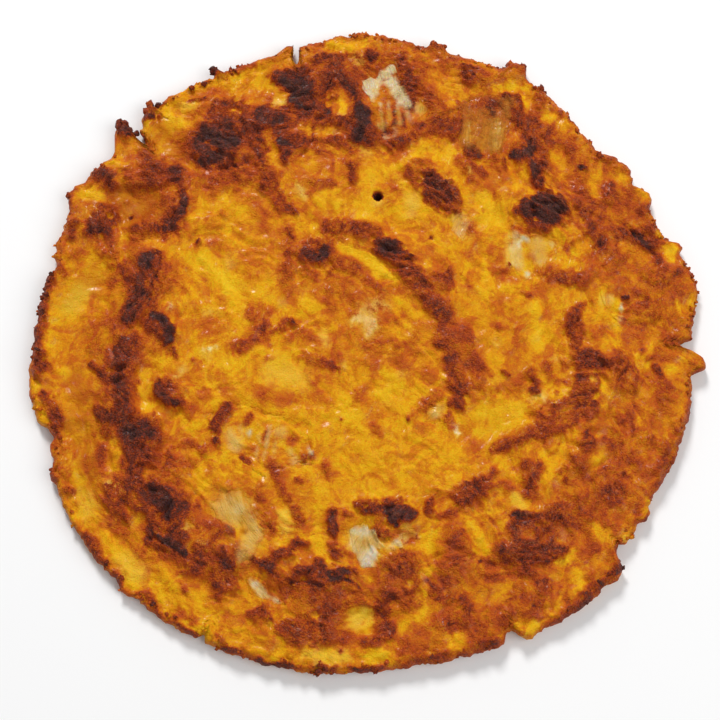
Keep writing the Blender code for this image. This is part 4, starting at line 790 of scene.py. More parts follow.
    (0.72, 0.7, (55, 99.4, 0.7), (61, 98.6, 0.7), (61.6, 94, 0.6)),
    (0.15, 3, (-117, 11, 3), (-114, 17, 4.6), (-108, 23, 4)), (0.04, 2, (-115.5, 11.5, 2.4), (-112, 17, 2)),
)
# painted shade and light: the hollows inside the rim on the left and at the top are made darker, the ring on
# the right and at the bottom lighter; the other runs even out the browning
tones = (  # how much browner a wide area is, softness, run
    (0.07, 6, (-76, 52, 8)), (0.05, 12, (-26, -60, 14), (-24, -76, 12)),
    (0.03, 14, (2, -30, 14), (26, -56, 18), (50, -54, 12)), (0.05, 12, (32, 80, 10), (54, 74, 10)),
    (-0.05, 8, (-80, -52, 9)), (-0.05, 8, (25, 51, 8)), (-0.03, 8, (106, -26, 10)),
    (-0.05, 14, (112, 24, 14), (113, -30, 16), (84, -84, 18), (30, -104, 16), (-12, -104, 12)),
    (0.06, 8, (-110, 26, 8), (-113, -24, 8), (-105, -66, 8), (-86, -92, 8)),
    (0.09, 6, (-64, 101, 7), (-46, 107, 6)), (0.06, 6, (-97, 53, 9), (-84, 54, 6)),
    (0.08, 5, (-62, 80, 8), (-54, 82, 7)),
)
# grooves in the relief, with painted shade laid into them by addCreases
creases = (  # depth, half-width, run of (x, y)
    (0.8, 0.9, (-50, 89), (-48, 83), (-45, 77), (-42, 71), (-40, 65), (-38, 60)),
    (0.6, 1, (-30, 78), (-24, 80), (-16, 80), (-10, 76), (-7, 69), (-6, 62)),
    (0.6, 1, (-30, 95), (-22, 94), (-12, 91), (-6, 88), (-4, 84)),
    (0.5, 0.9, (-12, 107), (-8, 100), (-5, 96)),
    (0.6, 1, (-74, 98), (-66, 97), (-58, 96), (-50, 95)),
    (0.8, 1.1, (-70, 74), (-65, 68), (-58, 68.5), (-51, 70), (-47, 74)),
    (0.6, 0.9, (-38, 84), (-34, 85.5), (-29, 86), (-26, 90)),
    (0.5, 0.8, (-24, 73), (-20, 76), (-15, 75), (-13, 70), (-15, 65), (-21, 64)),
    (0.8, 1, (-35, -92), (-28, -94), (-22, -95), (-14, -96.5), (-7, -94.5), (-2, -98)),
    (0.6, 0.9, (-9, -105), (-4, -103), (3, -104), (8, -108), (9, -113)),
    (0.8, 0.9, (-82, -75), (-77, -79), (-72, -83), (-66, -87), (-60, -89)),
    (0.5, 1.2, (-107, -30), (-106, -44), (-104, -56), (-100, -70), (-94, -78)),
    (0.7, 0.9, (84, 54), (83.5, 46), (85, 38), (88, 33)),
    (0.5, 0.7, (96.5, 49), (97, 42), (96.5, 35)),
    (0.7, 0.9, (102, 46), (105, 40), (109, 36), (114, 32)),
    (0.7, 0.9, (66, -88), (71, -87.5), (75, -85), (77, -82)),
    (0.6, 0.9, (46, -70), (50, -74), (52, -80), (49, -86)),
    (0.6, 0.9, (76, -98), (80, -99), (84, -97)),
    (0.5, 0.8, (47, -46), (54, -42), (62, -39.5), (71, -39), (79, -36)),
    (0.5, 0.8, (52, -35), (60, -34), (66, -30), (70, -25)),
    (0.5, 0.8, (19, -1), (24, -8), (28.5, -16), (33, -23)),
    (0.5, 0.7, (-12, 38.5), (-5, 36), (2, 33), (8, 28), (12, 23)),
    (0.6, 0.9, (-74, 10), (-74, 3), (-73.5, -4), (-74, -9)),
    (0.6, 0.9, (-80, 35), (-80, 28), (-83, 20), (-86, 12)),
    (0.5, 0.8, (30, 27), (34, 22), (35, 16), (33, 9)),
    (0.6, 0.9, (56, 58), (54, 51), (56, 45), (63, 42), (71, 42)),
    (0.5, 0.8, (17, 70), (18, 63), (22, 55), (30, 50), (37, 50)),
    (0.6, 0.9, (63, 83), (65, 74), (66, 66), (66, 60)),
    (0.6, 0.9, (75, 104), (80, 96), (88, 88), (97, 78)),
    (0.5, 0.9, (14, 117), (12, 109), (15, 101), (17, 95)),
    (0.5, 0.8, (-68, -18), (-64, -22), (-56, -22), (-48, -20)),
    (0.6, 0.9, (100, -12), (96, -20), (93, -30), (94, -38)),
    (0.5, 0.9, (104, 3), (106, -8), (103, -18), (101, -30), (100, -42)),
    (0.5, 0.8, (76, -52), (74, -60), (77, -66), (84, -70)),
    (0.5, 0.8, (10, -82), (16, -83), (22, -86), (24, -92)),
)
# mostly cabbage under thin batter; a few runs are painted glints
pales = (  # how pale, softness, run
    (0.7, 2, (-6, 6, 1.5), (-1, 7, 3), (1, 4, 3), (0, 0.5, 1.4)),
    (0.55, 2, (-1, 10, 2.5), (4, 13, 2), (8, 12, 1.4)), (0.4, 1.5, (-33, 13.5, 1.3)),
    (0.4, 2, (-17, 0, 2), (-16, -3, 1.3)), (0.5, 1.5, (-9, -11.6, 1.2)),
    (0.3, 4, (-36, -14, 4), (-29, -16, 4), (-25, -18, 2.4)), (0.25, 2, (13, -15, 1.8)),
    # the first run on the next line is a painted highlight, a white glint
    (1, 1, (33.5, -37.3, 0.9), (36, -38.8, 0.9)), (0.6, 2, (-36, 97, 2.2), (-33, 97, 1.8)),
    (0.5, 2, (-4, 115, 1.8)), (0.5, 1.2, (-13, 91, 0.9), (-6, 92, 0.9)), (0.5, 1.2, (4, 54.5, 1.1)),
    (0.55, 1.5, (-27, 61, 1.7), (-25, 57, 1.7)), (0.45, 2, (18, 56, 2.4), (17, 50, 2)),
    (0.35, 1.5, (-3, 77, 1.5), (0, 75, 1.3)), (0.35, 4, (38, 44, 3)), (0.5, 1.2, (41, 68, 1)),
    (0.35, 1.5, (-74, 95, 1.5), (-69, 95.5, 1.5)), (0.3, 3, (-115, 12, 3), (-111, 18, 3)),
    (0.35, 2, (-54, 29, 2.3)), (0.35, 1.5, (-63, 9, 1.2), (-58, 8.5, 1.2)),
    (0.95, 1, (-62.5, -5.5, 1), (-58.5, -4, 0.9)), (0.4, 2, (-62, -8, 1.8)), (0.6, 1, (-71.5, -13.5, 1)),
    (0.5, 1, (-73.5, -16, 0.9)), (0.9, 1, (-76.5, 11.3, 0.9)), (0.5, 2, (-52, -39, 2), (-50, -43, 2)),
    (0.7, 2, (56, 41, 1.8), (57, 30, 1.8)), (0.95, 1.2, (59.5, 37.5, 1.2), (62.5, 40, 1.3)),
    (0.6, 1.2, (72, 36.5, 1.3)), (0.8, 1.2, (62.5, 25, 1.3)), (0.5, 1.5, (50, -3, 1.4)),
    (0.3, 1.5, (66, -1, 1.2)), (0.3, 1.5, (72, -8.5, 1.6)), (0.5, 1.2, (86.5, -16.5, 1.2)),
    (0.6, 1.2, (63, -25, 1), (66, -23, 1), (67.5, -25.5, 1)), (0.9, 0.8, (99, 12.7, 0.7), (98.6, 10, 0.7)),
    (0.4, 1.5, (91, 14.5, 1.5)), (0.4, 2, (-32, -70, 2), (-31, -75, 2)),
    (0.45, 2, (-4, -109, 3), (0, -107, 2.6)), (0.5, 1.5, (-18.5, -124.5, 1.6)),
    (0.3, 3, (-91, -87, 3), (-86, -91, 3.4)), (0.3, 3, (-106, -63, 3), (-105, -68, 2.8)),
    (0.4, 1.5, (55.5, -63.5, 1.6), (57.5, -66.5, 1.5)), (0.35, 1.5, (97, -79, 1.2), (95, -84, 1.2)),
    (0.5, 4, (-54, -66, 4.5), (-48, -67, 4)), (0.45, 3, (-43, -74, 3), (-43, -80, 3), (-46, -87, 2)),
    (0.35, 2, (-61, -81, 1.5)), (0.8, 1.5, (-6, -76.5, 2.2), (-5.5, -80, 2)),
    (0.9, 1.5, (3, -79, 2), (3, -84, 2)), (0.7, 1.5, (9, -81, 1.6), (13, -78, 1.6)),
    # the runs at (-98, -58), (-78, -74.5) and (-68, -75) are painted highlights, light tan glints on the
    # crust
    (0.55, 1.2, (-98, -58, 1.2), (-93, -59.5, 1.4)), (0.5, 1.2, (-78, -74.5, 1)),
    (0.5, 1.5, (-68, -75, 1.6)), (0.5, 1, (-67, 78.5, 1), (-63, 76, 0.9)), (0.5, 1, (-67, 71, 1)),
    (0.4, 1.2, (-39, 88, 1.2)), (0.3, 2, (15, -75, 2)),
    (0.3, 2, (-23, -121.5, 1.9), (-15, -121.5, 2), (-8, -122.5, 2)),
)
rosies = (  # how rosy, softness, run
    (0.8, 5, (96, 26, 8), (114, 24, 9), (108, 12, 7)),
    (0.7, 6, (104, -4, 6), (110, -20, 8), (109, -36, 8), (102, -48, 6)),
    (0.7, 5, (84, -10, 6), (83, -24, 6), (68, -36, 4)), (0.6, 5, (38, -60, 6), (62, -55, 6)),
    (0.6, 5, (-112, 44, 8), (-104, 66, 6), (-88, 68, 7)),
    (0.5, 5, (-97, -38, 6), (-95, -10, 5), (-86, 22, 5)), (0.6, 5, (40, 108, 8), (66, 84, 6), (90, 44, 6)),
    (0.9, 5, (-16, -103, 10), (-30, -108, 7), (-20, -115, 6)), (0.9, 5, (56, -78, 9), (68, -76, 8)),
    (0.6, 5, (9, -91, 8), (35, -97, 8), (60, -98, 6)), (0.7, 4, (20, 68, 6), (28, 61, 7), (35, 54, 4)),
    (0.5, 5, (12, 24, 6), (22, 20, 8), (28, 10, 6)), (0.6, 5, (92, -58, 8)),
    (0.6, 4, (76, 24, 5), (85, 22, 5)), (0.7, 3, (28, 122, 4), (60, 112, 5)),
    (0.5, 4, (34, 2, 7), (38, -14, 5)), (0.6, 4, (-22, 66, 6)), (0.6, 4, (-14, 110, 7), (-22, 114, 5)),
)
# the wet pools lie in hollows, and besides their gloss they take a painted shade
wets = (  # how wet, softness, run
    (1, 3, (-97, 56, 6), (-94, 50, 6), (-86, 54, 4)), (0.8, 4, (-117, 13, 3), (-107, 24, 5)),
    (0.8, 4, (-112, -16, 4), (-110, -30, 4), (-107, -44, 4), (-106, -60, 3)), (0.4, 2, (-85, -22, 3)),
    (0.3, 4, (46, -33, 9)), (0.6, 4, (-84, 84, 6), (-76, 76, 5)), (0.6, 4, (-48, -66, 7)),
    (0.5, 4, (66, 36, 7)),
)


creaseForm = {  # as shares of a crease's depth or half-width
    "lipHeight": 0.45,
    "lipReach": (3.4, 1.2),
    "grooveDepth": 1.3,
    "grooveReach": (1.3, 0),
    "shadeReach": (1.5, 0),
}


def addCreases(x, y):
    # grooves with a low lip on both sides, and the painted shade in them
    height, dark = np.zeros(len(x)), np.zeros(len(x))
    for depth, half, *run in creases:
        away = -runReach(x, y, [(*place, 0.0) for place in run]) / half
        lip = creaseForm["lipHeight"] * smooth(*creaseForm["lipReach"], away)
        height += depth * (lip - creaseForm["grooveDepth"] * smooth(*creaseForm["grooveReach"], away))
        dark = np.maximum(dark, smooth(*creaseForm["shadeReach"], away))
    return height, dark


def painted(x, y, base, layers, ragged):
    # lays runs over a base, each with its own level and softness
    value = base
    for level, soft, *run in layers:
        value = mix(value, level, smooth(-soft, soft, runReach(x, y, run) + ragged))
    return value


# strips of cabbage under the batter, and bubbles that burst

buried = {
    "strips": 86,
    "ring": (0.60, 0.92),
    "length": (12, 26),
    "width": (4.5, 8.0),
    "height": (0.5, 1.15),
    "step": 137.508,  # degrees, which spreads them evenly
    "shift": (-8, 8),
    "turnSpread": 45,
    "bend": (-0.02, 0.02),
    "side": (0.8, -1.0),
    "creaseAt": 0.5,
    "creaseWidth": 1.3,
    "seed": 11,
}
bubbles = {
    "count": 150,
    "radius": (0.7, 1.5),
    "depth": (0.25, 0.7),
    "edge": (1, 0.2),
    "pitEdge": (1.1, 0.6),
    # the painted shade inside the pits: its reach and its strength
    "pitShade": (1.15, 0.9),
    "pitShadeStrength": 0.7,
    "spread": 117.18,
    "seed": 5,
}
pits = (  # x, y, radius, depth
    (4.2, 57.2, 1.9, 5.5), (84.8, 69, 1.0, 1.8), (-93, 48, 0.9, 1.0),
    (55.7, 29, 0.5, 0.8), (25, 40, 0.8, 0.8), (-10, -33, 0.7, 0.6), (42, -87, 0.8, 0.8),
)


def addStrips(x, y):
    draw = np.random.default_rng(buried["seed"])
    height, crease = np.zeros(len(x)), np.zeros(len(x))
    for index in range(buried["strips"]):
        angle = (index * buried["step"] + draw.uniform(*buried["shift"])) % 360
        reach = draw.uniform(*buried["ring"]) * float(roundRadius(np.array([angle]))[0])
        middle = reach * np.cos(np.radians(angle)), reach * np.sin(np.radians(angle))
        turn = np.radians(angle + 90 + draw.normal(0, buried["turnSpread"]))
        length, width = draw.uniform(*buried["length"]), draw.uniform(*buried["width"])
        tall, bend = draw.uniform(*buried["height"]), draw.uniform(*buried["bend"])
        along = (x - middle[0]) * np.cos(turn) + (y - middle[1]) * np.sin(turn)
        across = -(x - middle[0]) * np.sin(turn) + (y - middle[1]) * np.cos(turn) + bend * along**2
        box = np.hypot(np.maximum(np.abs(along) - length / 2 + width / 2, 0), across) - width / 2
        height = np.maximum(height, tall * smooth(*buried["side"], box))
        crease = np.maximum(crease, smooth(buried["creaseWidth"], 0, np.abs(box - buried["creaseAt"])))
    return height, crease


def addBubbles(x, y):
    # how deep, and the painted shade inside the pits
    draw = np.random.default_rng(bubbles["seed"])
    depth, dark = np.zeros(len(x)), np.zeros(len(x))
    for _ in range(bubbles["count"]):
        angle, reach = draw.uniform(0, 2 * np.pi), bubbles["spread"] * np.sqrt(draw.uniform(0, 1))
        radius, deep = draw.uniform(*bubbles["radius"]), draw.uniform(*bubbles["depth"])
        near = np.hypot(x - reach * np.cos(angle), y - reach * np.sin(angle)) / radius
        depth = np.maximum(depth, deep * smooth(*bubbles["edge"], near))
    for placeX, placeY, radius, deep in pits:
        near = np.hypot(x - placeX, y - placeY) / radius
        depth = np.maximum(depth, deep * smooth(*bubbles["pitEdge"], near))
        dark = np.maximum(dark, min(deep * bubbles["pitShadeStrength"], 1) * smooth(*bubbles["pitShade"], near))
    return depth, dark


# the fine surface

skin = {
    "seenFrom": (-2.9, -154.9, 588.2),
    "paintedAt": 6.0,
    "feather": 1.3,
    "broadFeather": 1.2,
    "featherLevel": 0.6,
    "bend": 0.3,
    "stripBend": 2.2,
    "baseToast": 0.32,
    "baseUneven": 0.08,
    "washRagged": 2,
    "stripTone": 0.08,
    "stripEdgeTone": 0.08,
    "stripEdgeFrom": (0.5, 0.62),
    "strokeSizes": (0.4, 1.6),
    "smallRagged": 0.3,
    "spread": 0.1,
    "spreadDark": 0.5,
    "darkLevels": (0.6, 0.9),
    "charred": 0.86,
    "charredSize": 0.8,
    "halo": 1.0,
    "haloToast": 0.60,
    "haloSoftness": 1.5,
    "crisp": 0.95,
    "yellow": 0.3,
    "melt": 1.5,
    "brown": 0.5,
    "sharpen": 0.7,
    "unevenness": 0.10,
    "crust": (0.40, 0.80),
    "turnAt": (-0.12, 0.16),
    "folds": (3.6, 8.0, 53),  # width, length, layer
    # painted shade and light: the fold weights just below darken the browning in the valleys of the folds and
    # lighten it on their tops
    "foldShading": (0.55, -0.0165, -0.1265),  # level, weight on soft places, on crusty ones
    "foldRise": (0.6, 0.42, 1.68),
    "broadFolds": (6.0, 17.0, 57),
    "broadShading": (0.5, -0.032, -0.112),
    "broadRise": (0.55, 0.60, 1.62),
    # painted shade in the creases, as added browning
    "creaseShadeTone": (0, 0.07, 0.14),
    # painted shade: the browning that the inside of a pit takes
    "pitShadeTone": 0.96,
    "patchRise": 1.3,
    "patchEdge": (0.36, 0.68),
    "patchLevel": 0.45,
    "grain": (0, 0.07, 0.27),
    "wetStrips": 0.6,  # how much being wet flattens each of these
    "wetFolds": 0.7,
    "wetSwell": 0.5,
    "rim": (0.9, 0.98),
}
roughness = {  # strength, spacing, layer, octaves, and calmness if it isn't the usual
    "warpX": (2.2, 14, 20, 3),
    "warpY": (2.2, 14, 21, 3),
    "raggedWide": (0.7, 6, 22, 3),
    "raggedFine": (0.9, 2.2, 23, 2),
    "patches": (1, 9, 24, 5, 0.55),
    "grain": (1, 2.4, 26, 3),
    "swell": (0.22, 5, 27, 3),
    "rimCrags": (1, 3.2, 28, 3),
    "flecks": (0.03, 3, 29, 3),
    "leafSwell": (0.3, 9, 41, 2),
    "flowX": (11, 27, 50, 2),
    "flowY": (11, 27, 51, 2),
    "turned": (1, 30, 52, 2),
}


def rough(x, y, name):
    strength, *form = roughness[name]
    return strength * layered(x, y, *form)


def weighed(value, name, crust):
    level, *weights = skin[name]
    return (value - level) * mix(*weights, crust)


def insideOutline(x, y, outline):
    # how deep places lie inside a closed outline, negative outside it
    away = np.full(len(x), farAway)
    inside = np.zeros(len(x), bool)
    for start, end in zip(outline, outline[1:] + outline[:1]):
        away = np.minimum(away, nearSegment(x, y, start, end)[1])
        if start[1] != end[1]:
            crosses = (y < start[1]) != (y < end[1])
            inside ^= crosses & (x < mix(start[0], end[0], (y - start[1]) / (end[1] - start[1])))
    return np.where(inside, away, -away)


def slant(x, y):
    # the second way of the strands, at 60 degrees to the first; also for shader values
    return x * 0.5 + y * 0.87, y * 0.5 - x * 0.87


def foldHeight(flow, wide, long, layer):
    flowX, flowY, turned = flow
    slantX, slantY = slant(flowX, flowY)
    upright = layered(flowX / wide, flowY / long, 1, layer, 3)
    slanting = layered(slantX / wide, slantY / long, 1, layer + 1, 3)
    return 1 - 2 * np.abs(mix(upright, slanting, turned))


def skinNoise(x, y):
    # the noises that the paint and the relief share, so that a leaf fits its bed
    turned = smooth(*skin["turnAt"], rough(x, y, "turned"))  # which of two ways the strands run
    flow = (x + rough(x, y, "flowX"), y + rough(x, y, "flowY"), turned)
    fold, broad = foldHeight(flow, *skin["folds"]), foldHeight(flow, *skin["broadFolds"])
    ragged = rough(x, y, "raggedWide") + rough(x, y, "raggedFine")
    ragged += skin["feather"] * (fold - skin["featherLevel"])
    ragged += skin["broadFeather"] * (broad - skin["featherLevel"])
    warpX, warpY = rough(x, y, "warpX"), rough(x, y, "warpY")
    return {"warpX": warpX, "warpY": warpY, "ragged": ragged, "flow": flow, "fold": fold, "broad": broad}


def paintToast(x, y, share, skins, strips, crease, patches):
    base = skin["baseToast"] + skin["baseUneven"] * patches
    toast = painted(x, y, base, washes, skins["ragged"] * skin["washRagged"])
    toast = toast + skin["stripTone"] * strips
    toast = toast + skin["stripEdgeTone"] * crease * smooth(*skin["stripEdgeFrom"], share)
    for level, soft, *run in strokes:
        size = smooth(*skin["strokeSizes"], run[0][2])
        reach = runReach(x, y, run) + skins["ragged"] * mix(skin["smallRagged"], 1, size) + skin["spread"]
        reach = reach + skin["spreadDark"] * smooth(*skin["darkLevels"], level) * size
        if level > skin["charred"] and size > skin["charredSize"]:
            ring = smooth(-skin["haloSoftness"], skin["haloSoftness"], reach + skin["halo"])
            toast = mix(toast, np.maximum(toast, skin["haloToast"]), ring)
        edge = skin["melt"] if level < skin["yellow"] else skin["sharpen"] if level > skin["brown"] else 1
        soft = soft * skin["crisp"] * edge
        toast = mix(toast, level, smooth(-soft, soft, reach))
    return toast + skin["unevenness"] * patches


def paintedPlace(x, y, height):
    # the strokes were placed a little above the floor, as seen from the front at 76 degrees
    fromX, fromY, fromZ = skin["seenFrom"]
    shift = (height - skin["paintedAt"]) / (fromZ - height)
    return x + (x - fromX) * shift, y + (y - fromY) * shift


def surfaceOf(x, y, share, skins):
    # height above the floor, and what the shader reads, for points of the face
    ragged, fold, broad = skins["ragged"], skins["fold"], skins["broad"]
    warpX, warpY = skins["warpX"], skins["warpY"]
    lumps = plainRelief(x, y)
    seenX, seenY = paintedPlace(x, y, faceSection(share) + lumps)
    bentX, bentY = seenX + warpX * skin["bend"], seenY + warpY * skin["bend"]
    strips, crease = addStrips(seenX + warpX * skin["stripBend"], seenY + warpY * skin["stripBend"])
    patches = rough(x + warpX, y + warpY, "patches")
    toast = paintToast(bentX, bentY, share, skins, strips, crease, patches) + rough(x, y, "flecks")
    pale, rosy, wet = (painted(bentX, bentY, 0, layers, ragged) for layers in (pales, rosies, wets))
    crust = smooth(*skin["crust"], toast)
    # painted shade in the valleys of the folds and painted light on their tops, put into the browning
    valleys = weighed(fold, "foldShading", crust) + weighed(broad, "broadShading", crust)
    grooves, creased = addCreases(seenX + warpX, seenY + warpY)
    toast = toast + valleys * (1 - wet) + weighed(creased, "creaseShadeTone", crust)
    # wide tones: painted shade in the hollows inside the rim, painted light on the ring on the right and at
    # the bottom
    for added, soft, *run in tones:
        toast = toast + added * smooth(-soft, soft, runReach(x, y, run))
    relief = lumps + strips * (1 - skin["wetStrips"] * wet) + grooves
    relief += skin["patchRise"] * (smooth(*skin["patchEdge"], toast) - skin["patchLevel"])
    folds = weighed(fold, "foldRise", crust) + weighed(broad, "broadRise", crust)
    relief += folds * (1 - skin["wetFolds"] * wet)
    relief += weighed(rough(x, y, "grain"), "grain", crust)
    relief += rough(x, y, "swell") * (1 - skin["wetSwell"] * wet)
    rim = smooth(*skin["rim"], share)
    relief += rough(x, y, "rimCrags") * rim
    burst, pitted = addBubbles(seenX, seenY)
    relief -= burst * (1 - rim)
    section = faceSection(share) + relief * (1 - smooth(*disc["crispEdge"], share))
    flowX, flowY, turned = skins["flow"]
    # painted shade inside the pits
    toast = np.clip(mix(toast, skin["pitShadeTone"], pitted), 0, 1)
    # the browning attribute also carries painted shade and light: folds, creases, pits and wide tones
    looks = {"toast": toast, "pale": pale, "rosy": rosy, "wet": wet}
    looks.update({"turned": turned, "strandX": flowX * mm, "strandY": flowY * mm})
    return overEdge(section, share), looks


# pieces of cabbage that show in the face

